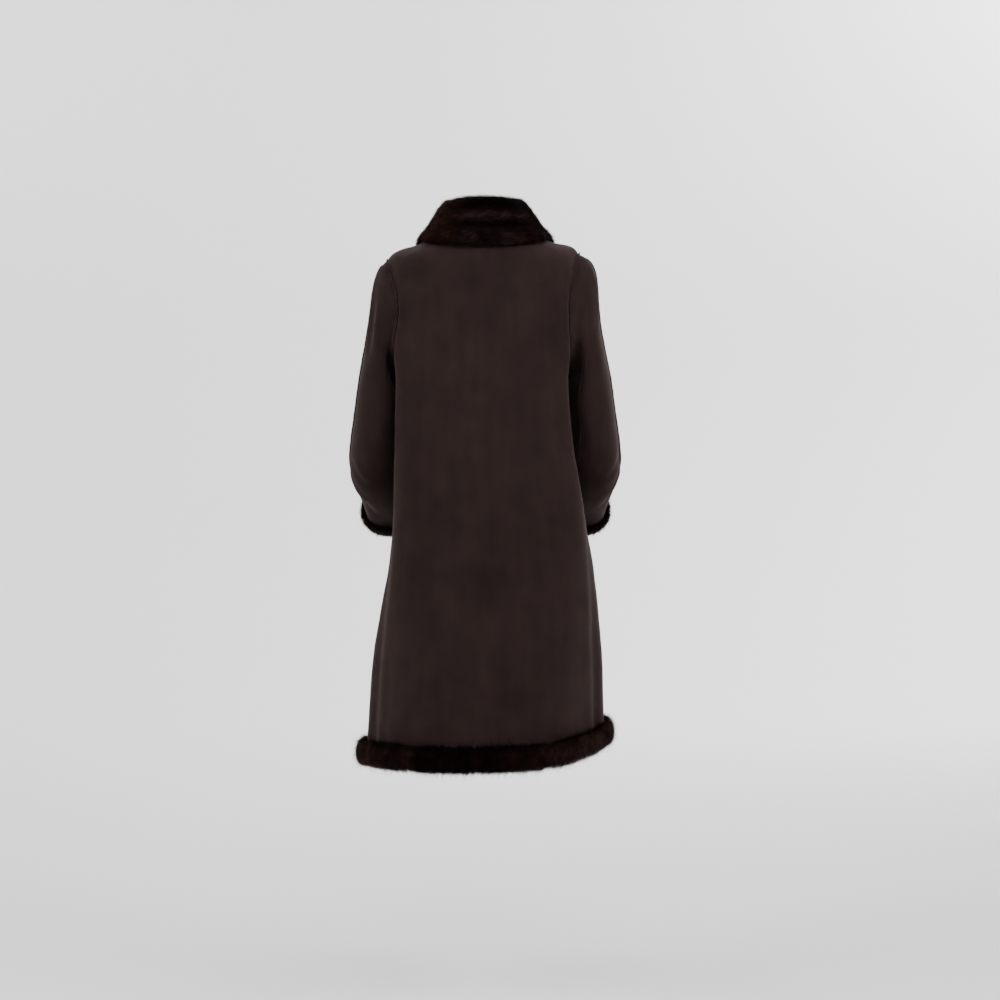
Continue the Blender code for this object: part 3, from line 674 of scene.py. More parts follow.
# Each panel's cut, flat: the rectangle it comes out of, and its own area.
Cut = namedtuple("Cut", "width length area")
CUTS = {
    "back": Cut(0.66, 1.07, 0.59),
    "front_left": Cut(0.33, 1.05, 0.26),
    "front_right": Cut(0.33, 1.05, 0.26),
    "collar_stand": Cut(0.46, 0.055, 0.0235),
    "sleeve_back_left": Cut(0.20, 0.66, 0.092),
    "sleeve_front_left": Cut(0.20, 0.60, 0.080),
    "sleeve_back_right": Cut(0.20, 0.66, 0.092),
    "sleeve_front_right": Cut(0.20, 0.60, 0.080),
}
Cloth = namedtuple("Cloth", "piece outer normal")
cloth = {}
for panel, normal in zip(panels, shared_normals(panels)):
    outer = panel.points + normal * panel.relief[..., None]
    # A hair's gap along every seam.
    over, up = unit(np.gradient(panel.points, axis=1)), unit(np.gradient(panel.points, axis=0))
    outer[:, 0] += over[:, 0] * SEAM_GAP / 2
    outer[:, -1] -= over[:, -1] * SEAM_GAP / 2
    outer[0] += up[0] * SEAM_GAP / 2
    outer[-1] -= up[-1] * SEAM_GAP / 2
    inner = outer - normal * WALL
    piece = add_wall(f"{panel.name}_suede", outer, inner, panel.facing, (suede, nap), panel.near)
    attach(piece, "root")
    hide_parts(panel.name)
    cloth[panel.name] = Cloth(piece, outer, normal)


# ================================================================ raised seams
# The armholes, the outer sleeve seams and the side seams are sewn with their raw edges outside:
# two thin plies of suede stand up side by side along each seam, held by a row of small stitches.
Welt = namedtuple("Welt", "height width")
ARMHOLE_WELT = Welt(0.0058, 0.0020)
SLEEVE_WELT = Welt(0.0042, 0.0020)
SIDE_WELT = Welt(0.0028, 0.0020)
WELT_SUNK, WELT_STEP = 0.0005, 0.0026
WELT_ENDS, END_HEIGHT = 3.0, 0.15  # a welt tapers over its last three steps
STITCH_STEP, STITCH_LONG, STITCH_THICK = 0.0045, 0.0030, 0.0006
STITCH_OFF, STITCH_UP = 0.0001, 0.35


def even_steps(line, step, *others):
    """The line, and what goes along with it, at even steps."""
    lengths = np.concatenate([[0], np.cumsum(np.linalg.norm(np.diff(line, axis=0), axis=1))])
    want = np.linspace(0, lengths[-1], max(int(lengths[-1] / step), 2) + 1)
    where = np.interp(want, lengths, np.arange(len(line)))
    return [through(values, where) for values in (line, *others)]


def loft(name, loops, finishes, closed=False, slots=None, attributes=()):
    """A solid through closed loops of points, all round or with a cap at each end."""
    loops = np.asarray(loops)
    count, size = loops.shape[:2]
    i = np.arange(count if closed else count - 1)[:, None]
    j = np.arange(size)[None, :]
    k, n = (i + 1) % count, (j + 1) % size
    faces = np.stack([i * size + j, i * size + n, k * size + n, k * size + j], -1).reshape(-1, 4)
    faces = faces.tolist()
    if not closed:
        faces += [list(range(size))[::-1], [(count - 1) * size + j for j in range(size)]]
    points = loops.reshape(-1, 3)
    volume = 0.0
    for face in faces:
        a = points[face[0]]
        for b, c in zip(face[1:], face[2:]):
            volume += a @ np.cross(points[b], points[c])
    if volume < 0:
        faces = [face[::-1] for face in faces]
    return make_piece(name, points, faces, finishes, slots, attributes)


def add_welt(name, line, one_side, other_side, normal, welt, seed):
    """Two plies that stand along a seam line, and the lines that its stitches follow."""
    line, one_side, other_side, normal = even_steps(line, WELT_STEP, one_side, other_side, normal)
    normal = unit(normal)
    run = unit(np.gradient(line, axis=0))
    across = other_side - one_side
    across -= run * (across * run).sum(1, keepdims=True)
    across -= normal * (across * normal).sum(1, keepdims=True)
    across = unit(across)
    ends = np.minimum(np.arange(len(line)), np.arange(len(line))[::-1]) / WELT_ENDS
    ends = np.clip(ends, END_HEIGHT, 1)[:, None]

    def uneven(size, step):
        return wander(line, size, seed + step)[:, None]

    # Uneven height, a lean to one side and a parting between the plies.
    tall = 1 + 0.10 * uneven(0.030, 0) + 0.06 * uneven(0.009, 1)
    lean = 0.0007 * uneven(0.045, 2) + 0.0003 * uneven(0.012, 3)
    parted = 0.00045 + 0.0002 * uneven(0.018, 4)
    half = welt.width / 2
    rise = (welt.height + WELT_SUNK) * tall * ends

    def at(out, up):
        """Points across the seam by out, up the plies by a share."""
        return line + across * (out + lean * up) + normal * (up * rise - WELT_SUNK)

    loops = np.stack(
        [
            at(-half, 0.02), at(-half * 0.92, 0.5), at(-half * 0.95 - parted * 0.4, 0.93),
            at(-half * 0.62 - parted * 0.4, 1.0), at(-parted * 0.9, 0.95), at(0, 0.45),
            at(parted * 0.9, 0.93), at(half * 0.62 + parted * 0.4, 1.0),
            at(half * 0.95 + parted * 0.4, 0.92), at(half * 0.92, 0.5), at(half, 0.02), at(0, 0.0),
        ],
        axis=1,
    )
    raw_edge = np.zeros(loops.shape[:2])
    raw_edge[:, [3, 7]] = 1.0
    raw_edge[:, [2, 4, 6, 8]] = 0.6
    piece = loft(f"{name}_plies", loops, (raw_suede,), attributes=[("raw", "FLOAT", raw_edge)])
    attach(piece, "root")
    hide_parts(name)
    return piece, [at(way * (half + STITCH_OFF), STITCH_UP) for way in (-1, 1)]


def raw_edge_finish():
    """The same suede, with its lighter cut edge."""
    finish = suede.copy()
    finish.name = "raw_suede_edge"
    tree = finish.node_tree
    colour = tree.nodes["Principled BSDF"].inputs["Base Color"]
    plain = colour.links[0].from_socket
    raw = math_node(tree, "MULTIPLY", attribute(tree, "raw"), 0.35)
    tree.links.new(colour_between(tree, raw, plain, (0.055, 0.036, 0.033)), colour)
    return finish


def thread_finish():
    """Brown waxed thread."""
    finish, tree, shader, place = new_finish("brown_thread")
    twist = noise(tree, place, 1600.0, 2.0)
    colour = colour_between(tree, twist, (0.010, 0.006, 0.005), (0.050, 0.032, 0.028))
    set_surface(tree, shader, colour, Roughness=0.55)
    return finish


def node_tree(name, sockets):
    """An empty tree with named inputs: (name, kind, value)."""
    tree = bpy.data.node_groups.new(name, "GeometryNodeTree")
    tree.interface.new_socket("Geometry", in_out="INPUT", socket_type="NodeSocketGeometry")
    for word, kind, value in sockets:
        socket = tree.interface.new_socket(word, in_out="INPUT", socket_type=kind)
        if value is not None:
            socket.default_value = value
    tree.interface.new_socket("Geometry", in_out="OUTPUT", socket_type="NodeSocketGeometry")
    given = tree.nodes.new("NodeGroupInput")
    return tree, given.outputs


def made_by(tree, name, mesh, values):
    """A plain mesh piece: what the tree makes of the mesh with these values."""
    carrier = bpy.data.objects.new(name, mesh)
    bpy.context.scene.collection.objects.link(carrier)
    modifier = carrier.modifiers.new("made", "NODES")
    modifier.node_group = tree
    for socket in tree.interface.items_tree:
        if socket.in_out == "INPUT" and socket.name in values:
            modifier[socket.identifier] = values[socket.name]
    seen = carrier.evaluated_get(bpy.context.evaluated_depsgraph_get())
    result = bpy.data.meshes.new_from_object(seen)
    carrier.modifiers.remove(modifier)
    bpy.data.objects.remove(carrier)
    result.name = name
    piece = bpy.data.objects.new(name, result)
    bpy.context.scene.collection.objects.link(piece)
    return piece


def finish_tree(tree, geometry, material_socket):
    """The tree's last nodes: all instances made real, in their material."""
    whole = wire(tree, "GeometryNodeRealizeInstances", Geometry=geometry)
    done = wire(tree, "GeometryNodeSetMaterial", Geometry=whole, Material=material_socket)
    add_node(tree, "NodeGroupOutput", Geometry=done)


def stitch_tree():
    """Small rounded stitches laid end to end, with a gap, along the edges of a mesh."""
    tree, given = node_tree(
        "welt_stitches",
        (
            ("Step", "NodeSocketFloat", STITCH_STEP),
            ("Long", "NodeSocketFloat", STITCH_LONG),
            ("Thick", "NodeSocketFloat", STITCH_THICK),
            ("Thread", "NodeSocketMaterial", None),
        ),
    )
    seam = wire(tree, "GeometryNodeMeshToCurve", Mesh=given["Geometry"])
    spots = add_node(
        tree, "GeometryNodeCurveToPoints", {"mode": "LENGTH"}, Curve=seam, Length=given["Step"]
    )
    bead = wire(tree, "GeometryNodeMeshUVSphere", Segments=4, Rings=4, Radius=0.5)
    size = wire(tree, "ShaderNodeCombineXYZ", X=given["Thick"], Y=given["Thick"], Z=given["Long"])
    turn = wire(
        tree, "FunctionNodeAlignRotationToVector", {"axis": "Z"}, Vector=spots.outputs["Tangent"]
    )
    laid = wire(
        tree, "GeometryNodeInstanceOnPoints",
        Points=spots.outputs["Points"], Instance=bead, Rotation=turn, Scale=size,
    )
    finish_tree(tree, laid, given["Thread"])
    return tree


raw_suede, thread = raw_edge_finish(), thread_finish()
stitches_along = stitch_tree()


def add_stitches(name, lines):
    """Rows of stitches along the lines, as a piece."""
    points = np.concatenate(lines)
    edges, start = [], 0
    for line in lines:
        edges += [(start + k, start + k + 1) for k in range(len(line) - 1)]
        start += len(line)
    mesh = bpy.data.meshes.new(name)
    mesh.from_pydata(points.tolist(), edges, [])
    piece = made_by(stitches_along, name, mesh, {"Thread": thread})
    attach(piece, "root")
    return piece


# The armhole's welt starts a quarter of the way up its back. Across the seam it is set by a
# neighbouring point of the body, taken a few rows higher where the armhole's edge runs level.
WELT_SKIP = ARMHOLE_HALF // 4 + 1
LEVEL_FROM, LEVEL_STEPS = SKIRT_STEPS + ARMHOLE_HALF // 2, 5
SLEEVE_RING = 3
SLEEVE_ROWS, SIDE_ROWS = slice(4, -6), slice(6, SKIRT_STEPS - 3)
sewn_on = {name: [] for name in CUTS}
for side, word in ((1, "left"), (-1, "right")):
    body_edge, body_inner = (-1, -3) if side > 0 else (0, 2)
    front_edge, front_inner = (0, 2) if side > 0 else (-1, -3)
    _, back, back_normal = cloth["back"]
    _, front, front_normal = cloth[f"front_{word}"]
    _, behind, behind_normal = cloth[f"sleeve_back_{word}"]
    _, ahead, ahead_normal = cloth[f"sleeve_front_{word}"]
    rows = np.arange(SKIRT_STEPS + WELT_SKIP, SKIRT_STEPS + ARMHOLE_HALF + 1)
    over = np.clip(rows + np.where(rows > LEVEL_FROM, LEVEL_STEPS, 0), 0, len(back) - 1)
    turns = ARMHOLE_TURNS[WELT_SKIP:]
    ring_behind = through(behind[SLEEVE_RING], turns * SLEEVE_HALF / math.pi)
    ring_ahead = through(ahead[SLEEVE_RING], (math.pi - turns) * SLEEVE_HALF / math.pi)
    # Up the back, then down the front.
    line = np.concatenate([back[rows, body_edge], front[rows[::-1][1:], front_edge]])
    inside = np.concatenate([back[over, body_inner], front[over[::-1][1:], front_inner]])
    outside = np.concatenate([ring_behind, ring_ahead[::-1][1:]])
    normal = np.concatenate([back_normal[rows, body_edge], front_normal[rows[::-1][1:], front_edge]])
    armhole = add_welt(f"armhole_welt_{word}", line, inside, outside, normal, ARMHOLE_WELT, 20)
    arm = add_welt(
        f"sleeve_welt_{word}", behind[SLEEVE_ROWS, 0], ahead[SLEEVE_ROWS, -3],
        behind[SLEEVE_ROWS, 2], behind_normal[SLEEVE_ROWS, 0], SLEEVE_WELT, 30,
    )
    flank = add_welt(
        f"side_welt_{word}", back[SIDE_ROWS, body_edge], back[SIDE_ROWS, body_inner],
        front[SIDE_ROWS, front_inner], back_normal[SIDE_ROWS, body_edge], SIDE_WELT, 40,
    )
    for name, part, (piece, lines) in (
        (f"sleeve_front_{word}", "armhole", armhole),
        (f"sleeve_back_{word}", "sleeve", arm),
        ("back", "side", flank),
    ):
        sewn_on[name] += [piece, add_stitches(f"{part}_stitches_{word}", lines)]


# ================================================================ the fur hem
# Strips of long-haired pelt, sewn end to end and rolled round the suede's lower edge, one under
# each panel. Under the hair is a thin skin; the joins show as partings.
HEM_REACH = 0.022
# The roll's section: points out from the suede and up from its lower edge, as shares of its reach.
ROLL_SECTION = (
    (0.02, 1.38),
    (0.36, 1.50),
    (0.70, 1.22),
    (0.86, 0.60),
    (0.82, -0.12),
    (0.56, -0.55),
    (0.13, -0.72),
    (-0.28, -0.56),
    (-0.46, -0.22),
    (-0.40, -0.08),
    (-0.16, -0.05),
)
# How light the roll's fur is round its section: the first values are painted shade where it tucks under
# the suede.
ROLL_TONE_AND_PAINTED_SHADE = [(t,) for t in (0.3, 0.5, 1.0, 1.0, 1.1, 1.4, 1.6, 1.3, 1.0, 1.0, 1.0)]
ROLL_ROUND, PARTING_WIDTH = 34, 0.005
# How far the strip's first edge stands off the suede, outside and under, and tucks down.
ROLL_LANDS, ROLL_TUCK = (0.0016, 0.0006), 0.001
PELT = 0.0032
HAIR_LIE = 0.0035  # how far the hair lies over the skin
GUARD_STRANDS, GUARD_WIDTH, GUARD_MESS = 42000.0, 0.0006, 0.9
Swell = namedtuple("Swell", "size share")  # the roll's lumps: over what length, and how much
SWELLS, PARTING_DIP = (Swell(0.050, 0.07), Swell(0.018, 0.05)), 0.14


def strand_tree():
    """Hair: flat strands that taper and bend over, combed the way the pelt's comb points."""
    tree, given = node_tree(
        "fur_strands",
        (
            ("Strands per square metre", "NodeSocketFloat", 800000.0),
            ("Length", "NodeSocketFloat", 0.013),
            ("Width", "NodeSocketFloat", 0.0007),
            ("Rise", "NodeSocketFloat", 0.40),
            ("Mess", "NodeSocketFloat", 0.5),
            ("Clump size", "NodeSocketFloat", 0.012),
            ("Seed", "NodeSocketInt", 1),
            ("Hair", "NodeSocketMaterial", None),
        ),
    )

    def named(word, kind):
        return add_node(
            tree, "GeometryNodeInputNamedAttribute", {"data_type": kind}, Name=word
        ).outputs["Attribute"]

    def times(a, b):
        return math_node(tree, "MULTIPLY", a, b)

    def draw(low, high, seed_step):
        """A random number, or three, for each strand."""
        kind, first, made = ("FLOAT_VECTOR", 0, 0) if isinstance(low, tuple) else ("FLOAT", 2, 1)
        seed = math_node(tree, "ADD", given["Seed"], seed_step)
        inputs = {f"_{first}": low, f"_{first + 1}": high, "Seed": seed}
        return add_node(tree, "FunctionNodeRandomValue", {"data_type": kind}, **inputs).outputs[made]

    def vector(operation, **inputs):
        settings = {"operation": operation}
        return wire(tree, "ShaderNodeVectorMath", settings, **inputs)

    # One strand, from its root at 0 to its tip at 1, which bends over as it rises.
    blank = wire(tree, "GeometryNodeMeshGrid", Size_X=1.0, Size_Y=1.0, Vertices_X=2, Vertices_Y=4)
    corner = add_node(
        tree, "ShaderNodeSeparateXYZ",
        Vector=tree.nodes.new("GeometryNodeInputPosition").outputs[0],
    )
    along = math_node(tree, "ADD", corner.outputs[1], 0.5)
    blank = wire(
        tree, "GeometryNodeStoreNamedAttribute", {"data_type": "FLOAT", "domain": "POINT"},
        Geometry=blank, Name="along", Value=along,
    )
    taper = math_node(tree, "POWER", math_node(tree, "SUBTRACT", 1.0, along), 0.6)
    wide = times(times(corner.outputs[0], given["Width"]), taper)
    reach = times(math_node(tree, "MULTIPLY_ADD", along, 0.5, 0.45), along)
    rise = times(math_node(tree, "MULTIPLY_ADD", along, -0.9, 1.7), along)
    bent = wire(
        tree, "ShaderNodeCombineXYZ",
        X=wide, Y=times(reach, given["Length"]), Z=times(times(rise, given["Rise"]), given["Length"]),
    )
    blade = wire(tree, "GeometryNodeSetPosition", Geometry=blank, Position=bent)
    blade = wire(tree, "GeometryNodeMergeByDistance", Geometry=blade, Distance=1e-5)

    thick = times(given["Strands per square metre"], named("pile", "FLOAT"))
    roots = add_node(
        tree, "GeometryNodeDistributePointsOnFaces", {"distribute_method": "RANDOM"},
        Mesh=given["Geometry"], Density=thick, Seed=given["Seed"],
    )
    place = tree.nodes.new("GeometryNodeInputPosition").outputs[0]
    clump_scale = math_node(tree, "DIVIDE", 1.0, given["Clump size"])
    clump = add_node(tree, "ShaderNodeTexNoise", Vector=place, Scale=clump_scale, Detail=2.0)
    off = vector("SUBTRACT", _0=clump.outputs[1], _1=(0.5, 0.5, 0.5))
    off = vector("SCALE", _0=off, _3=times(given["Mess"], 2.6))
    combed = vector("ADD", _0=off, _1=named("comb", "FLOAT_VECTOR"))
    turn = wire(
        tree, "FunctionNodeAlignRotationToVector", {"axis": "Z"}, Vector=roots.outputs["Normal"]
    )
    turn = wire(
        tree, "FunctionNodeAlignRotationToVector", {"axis": "Y", "pivot_axis": "Z"},
        Rotation=turn, Vector=combed,
    )
    wag = wire(
        tree, "FunctionNodeEulerToRotation", Euler=draw((-0.16, -0.8, -0.22), (0.26, 0.8, 0.22), 1)
    )
    turn = wire(
        tree, "FunctionNodeRotateRotation", {"rotation_space": "LOCAL"}, Rotation=turn, Rotate_By=wag
    )
    size = times(draw(0.62, 1.18, 2), math_node(tree, "MULTIPLY_ADD", named("pile", "FLOAT"), 0.5, 0.5))
    hairs = wire(
        tree, "GeometryNodeInstanceOnPoints",
        Points=roots.outputs["Points"], Instance=blade, Rotation=turn, Scale=size,
    )
    tint = math_node(tree, "MULTIPLY_ADD", clump.outputs[0], 0.9, times(draw(0.0, 1.0, 3), 0.55))
    hairs = wire(
        tree, "GeometryNodeStoreNamedAttribute", {"data_type": "FLOAT", "domain": "INSTANCE"},
        Geometry=hairs, Name="tint", Value=math_node(tree, "SUBTRACT", tint, 0.25),
    )
    finish_tree(tree, hairs, given["Hair"])
    return tree


def hair_finish():
    """Near-black guard hair, redder in places, with paler tips where the pelt's tone, which carries
    painted shade and painted highlights, is light.
    """
    finish, tree, shader, place = new_finish("dark_brown_hair")
    shade = math_node(tree, "POWER", attribute(tree, "along"), 0.8)
    # The pelt's tone carries painted shade and painted highlights.
    for share in (attribute(tree, "tint"), noise(tree, place, 38.0, 3.0), attribute(tree, "tone_and_painted_light")):
        shade = math_node(tree, "MULTIPLY", shade, share)
    shade = math_node(tree, "MULTIPLY_ADD", shade, 3.4, -0.06, clamp=True)
    cool = colour_between(tree, shade, (0.0012, 0.0004, 0.0004), (0.034, 0.021, 0.020))
    warm = colour_between(tree, shade, (0.0016, 0.0004, 0.0003), (0.034, 0.0145, 0.0105))
    set_surface(
        tree, shader, colour_between(tree, attribute(tree, "warm"), cool, warm),
        Roughness=0.5, Specular_IOR_Level=0.008, Specular_Tint=(1.0, 0.62, 0.52, 1),
    )
    return finish


def pelt_finish():
    """The skin and underfur between the hairs."""
    finish, tree, shader, place = new_finish("dark_underfur")
    fluff = noise(tree, place, 420.0, 4.0)
    colour = colour_between(tree, fluff, (0.0012, 0.0004, 0.0003), (0.006, 0.002, 0.0016))
    set_surface(tree, shader, colour, (0.8, 0.0012, fluff), Roughness=0.9, Specular_IOR_Level=0.05)
    return finish


hair, pelt = hair_finish(), pelt_finish()
strands_on = strand_tree()


def grow_hair(shell, name, **values):
    """The hair on a pelt, as a piece of its own."""
    values = {word.replace("_", " "): value for word, value in values.items()}
    piece = made_by(strands_on, name, shell.data, {"Hair": hair, **values})
    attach(piece, "root")
    return piece


def grow_guard_hair(shell, name, length, rise, seed):
    """The few long hairs that stand over the rest and make the fur's edge fuzzy."""
    return grow_hair(
        shell, name, Seed=seed, Length=length, Rise=rise, Width=GUARD_WIDTH, Mess=GUARD_MESS,
        Strands_per_square_metre=GUARD_STRANDS,
    )


def roll_shell(name, edge, above, normal, reach, partings, sweep_side, tones, closed=False):
    """A strip of pelt round the suede's edge, with its hair's comb, pile, tone with painted shade, and
    warmth.
    """
    up = above - edge
    up = unit(up - normal * (up * normal).sum(1, keepdims=True))
    where = np.linspace(0, len(ROLL_SECTION) - 1, ROLL_ROUND)
    path = through(ROLL_SECTION, where)
    way = unit(np.gradient(path, axis=0))
    out_of = np.stack([-way[:, 1], way[:, 0]], -1)
    parted = np.zeros(len(edge))
    for x, front in partings:
        near = np.exp(-(((edge[:, 0] - x) / PARTING_WIDTH) ** 2))
        parted += np.where((edge[:, 1] < 0) == front, near, 0)
    swell = 1 + sum(s.share * wander(edge, s.size, 60 + k) for k, s in enumerate(SWELLS))
    swell = (swell - PARTING_DIP * parted)[:, None, None]
    hair_room = HAIR_LIE * reach / HEM_REACH
    skin = path * reach - out_of * hair_room
    lining = skin - out_of * PELT * (reach / HEM_REACH) ** 0.5
    skin[0, 0], lining[0, 0] = ROLL_LANDS
    lining[0, 1] -= ROLL_TUCK

    def placed(section):
        section = section[None, :, :] * swell
        return (
            edge[:, None]
            + normal[:, None] * section[..., :1]
            + up[:, None] * section[..., 1:]
        )

    outer, under = placed(skin), placed(lining)
    outer += (wander(outer, 0.016, 62) * 0.0006)[..., None] * normal[:, None]
    comb = normal[:, None] * way[None, :, :1] + up[:, None] * way[None, :, 1:]
    comb = unit(comb + sweep_side * unit(np.gradient(edge, axis=0))[:, None])
    loops = np.concatenate([outer, under[:, ::-1]], axis=1)
    combs = np.concatenate([comb, comb[:, ::-1]], axis=1)
    pile = np.zeros(loops.shape[:2])
    pile[:, 1 : len(path) - 3] = 1.0
    pile *= 1 - 0.5 * parted[:, None]
    # The roll's colour carries painted shade, darkest where it tucks under the suede, and it is palest
    # along its lowest hairs.
    lower = through(ROLL_TONE_AND_PAINTED_SHADE, where)[:, 0]
    tone_and_painted_light = np.interp(edge[:, 0], *np.transpose(tones))[:, None] * lower[None, :]
    tone_and_painted_light = np.concatenate([tone_and_painted_light, tone_and_painted_light[:, ::-1]], axis=1)
    warm = np.clip(0.5 + 0.4 * wander(loops, 0.06, 63), 0, 1)
    shell = loft(
        name.replace("fur", "pelt"), loops, (pelt,), closed,
        attributes=[
            ("comb", "FLOAT_VECTOR", combs), ("pile", "FLOAT", pile),
            ("tone_and_painted_light", "FLOAT", tone_and_painted_light), ("warm", "FLOAT", warm),
        ],
    )
    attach(shell, "root")
    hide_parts(name)
    return shell


HEM_PARTINGS = ((0.139, False), (0.008, False), (-0.123, False), (0.11, True), (-0.11, True))
# How light the hem's fur is, by x: pale at the joins and towards both sides.
HEM_TONES = (
    (-0.24, 1.5), (-0.18, 1.4), (-0.144, 0.9), (-0.123, 1.1), (-0.087, 0.6), (-0.03, 0.35),
    (-0.002, 0.3), (0.008, 0.9), (0.018, 0.3), (0.12, 0.35), (0.139, 1.0), (0.16, 0.45),
    (0.18, 0.7), (0.24, 1.2),
)
for name, strands, seed in (
    ("back", 620000.0, 10), ("front_left", 450000.0, 20), ("front_right", 450000.0, 30)
):
    _, points, normal = cloth[name]
    shell = roll_shell(
        f"hem_fur_{name}", points[0], points[3], normal[0], HEM_REACH, HEM_PARTINGS, 0.25,
        HEM_TONES,
    )
    hairs = grow_hair(
        shell, f"hem_hair_{name}", Seed=seed, Rise=0.50, Strands_per_square_metre=strands
    )
    guard = grow_guard_hair(shell, f"hem_guard_hair_{name}", 0.020, 0.75, seed + 5)


# ================================================================ the fur cuffs
# A narrower strip of the same pelt, rolled all round the end of each sleeve.
CUFF_REACH = 0.013
CUFF_TONES = ((-0.3, 1.5), (0.3, 1.35))
CUFF_STRANDS, CUFF_HAIR = 560000.0, 0.010
for side, word in ((1, "left"), (-1, "right")):
    _, behind, behind_normal = cloth[f"sleeve_back_{word}"]
    _, ahead, ahead_normal = cloth[f"sleeve_front_{word}"]
    edge = np.concatenate([behind[-1], ahead[-1][1:-1]])
    above = np.concatenate([behind[-3], ahead[-3][1:-1]])
    normal = np.concatenate([behind_normal[-1], ahead_normal[-1][1:-1]])
    shell = roll_shell(
        f"cuff_fur_{word}", edge, above, normal, CUFF_REACH, (), 0.3, CUFF_TONES, closed=True
    )
    hairs = grow_hair(
        shell, f"cuff_hair_{word}", Seed=50 + side, Length=CUFF_HAIR,
        Strands_per_square_metre=CUFF_STRANDS,
    )
    guard = grow_guard_hair(shell, f"cuff_guard_hair_{word}", 0.014, 0.70, 55 + side)


# ================================================================ the fur collar
# A wide band of pelt that stands up round the neck and is turned down over itself. The hair runs
# sideways round the neck, and a soft dent crosses the back under the fold.
COLLAR_HALF = 0.0062
LIE_GAP = 0.0005
COLLAR_END_TOP, COLLAR_END_EDGE = 4.93, 4.40
COLLAR_EDGE_ROWS = (8.0, 8.0, 8.05, 8.18, 7.7, 6.5)
COLLAR_ROLL_OUT, COLLAR_ROLL_UP, COLLAR_LIE_UP, COLLAR_LIE_OUT = 0.019, 0.005, 0.030, 0.012
COLLAR_HAIR_ROOM = 0.0026
COLLAR_STATIONS, COLLAR_ACROSS, COLLAR_ROUND = 150, 34, 5
CREASE_AT, CREASE_X, CREASE_REACH, CREASE_DEEP, CREASE_LIP = 0.38, -0.018, 0.068, 0.0064, 0.0030
COLLAR_STRANDS, STAND_STRANDS = 350000.0, 300000.0


def stand_top(q):
    """Points of the stand's upper edge."""
    return through(section_points(STAND_TOP), q + 6)


def fall_centreline(u):
    """The middle of the collar's thickness, from its fold to its outer edge; u is -1 to 1."""
    u = np.asarray(u, float)
    top_q, edge_q = u * COLLAR_END_TOP, u * COLLAR_END_EDGE
    row = through([[r] for r in COLLAR_EDGE_ROWS], np.abs(u) * 5)[..., 0]
    top = stand_top(top_q)
    tangent = unit(stand_top(top_q + 0.05) - stand_top(top_q - 0.05))
    out = unit(np.cross(top - body_point(top_q, NECK), tangent))
    rise = np.cross(tangent, out)
    fold = top + rise * (COLLAR_HALF + 2 * LIE_GAP)
    across = body_point(edge_q + 0.05, row) - body_point(edge_q - 0.05, row)
    up = body_point(edge_q, row + 0.05) - body_point(edge_q, row - 0.05)
    normal = unit(np.cross(up, across))
    edge = body_point(edge_q, row) + normal * (COLLAR_HALF + 2 * LIE_GAP)
    leave = fold + out * COLLAR_ROLL_OUT + rise * COLLAR_ROLL_UP
    arrive = edge + unit(up) * COLLAR_LIE_UP + normal * COLLAR_LIE_OUT
    t = np.linspace(0, 1, COLLAR_ACROSS + 1)[:, None]
    s = 1 - t
    f, l, a, e = (p[..., None, :] for p in (fold, leave, arrive, edge))
    return f * s**3 + l * (3 * s * s * t) + a * (3 * s * t * t) + e * t**3


u = np.linspace(-1, 1, COLLAR_STATIONS + 1)
middle = fall_centreline(u)
sideways = unit(np.gradient(middle, axis=0))
down = unit(np.gradient(middle, axis=1))
out = unit(np.cross(sideways, down))
half = COLLAR_HALF - COLLAR_HAIR_ROOM
puff = 0.0010 * wander(middle, 0.045, 70) + 0.0006 * wander(middle, 0.018, 71)
# Height on the collar, from 0 at its outer edge to 1 at the fold, and how near a place is to the
# crease's middle, a little to the wearer's right.
high = middle[..., 2]
high = np.clip((high - high[:, -1:]) / (high[:, :1] - high[:, -1:]), 0, 1)
across_back = np.exp(-(((middle[..., 0] - CREASE_X) / CREASE_REACH) ** 4)) * (middle[..., 1] > 0)


def band(at, width):
    """How near each place is to a height on the collar."""
    return np.exp(-(((high - at) / width) ** 2))


dent = CREASE_DEEP * band(CREASE_AT - 0.01, 0.07) * across_back
lip = CREASE_LIP * band(CREASE_AT + 0.12, 0.08) * across_back
over = middle + out * (half + puff - dent + lip)[..., None]
under = middle - out * half
turn = np.linspace(0, math.pi, COLLAR_ROUND + 2)[1:-1][None, :, None]
top_round = middle[:, :1] - (out[:, :1] * np.cos(turn) + down[:, :1] * np.sin(turn)) * half
end_round = middle[:, -1:] + (out[:, -1:] * np.cos(turn) + down[:, -1:] * np.sin(turn)) * half * 0.9
loops = np.concatenate([top_round, over, end_round, under[:, ::-1]], axis=1)


def all_round(values, back_side=None):
    """Values on the collar's upper side, carried on round its edges and under it."""
    ends = [np.repeat(values[:, k : k + 1], COLLAR_ROUND, 1) for k in (0, values.shape[1] - 1)]
    rest = values[:, ::-1] if back_side is None else np.full(values.shape[:2], back_side)
    return np.concatenate([ends[0], values, ends[1], rest], axis=1)


# Across the back the fur's colour carries painted shade, dark under the fold and in the crease, and
# painted highlights, pale between them and in two patches below; round the sides it is warmer.
tone_and_painted_light = 0.75 + 0.30 * wander(middle, 0.030, 72)
# Painted shade under the fold.
tone_and_painted_light *= 1 - 0.90 * band(0.86, 0.15) * across_back
# Painted highlight: a pale band between the fold and the crease.
tone_and_painted_light += 0.60 * band(0.57, 0.09) * across_back
# Painted shade in the crease.
tone_and_painted_light *= 1 - 0.98 * band(CREASE_AT - 0.01, 0.095) * across_back
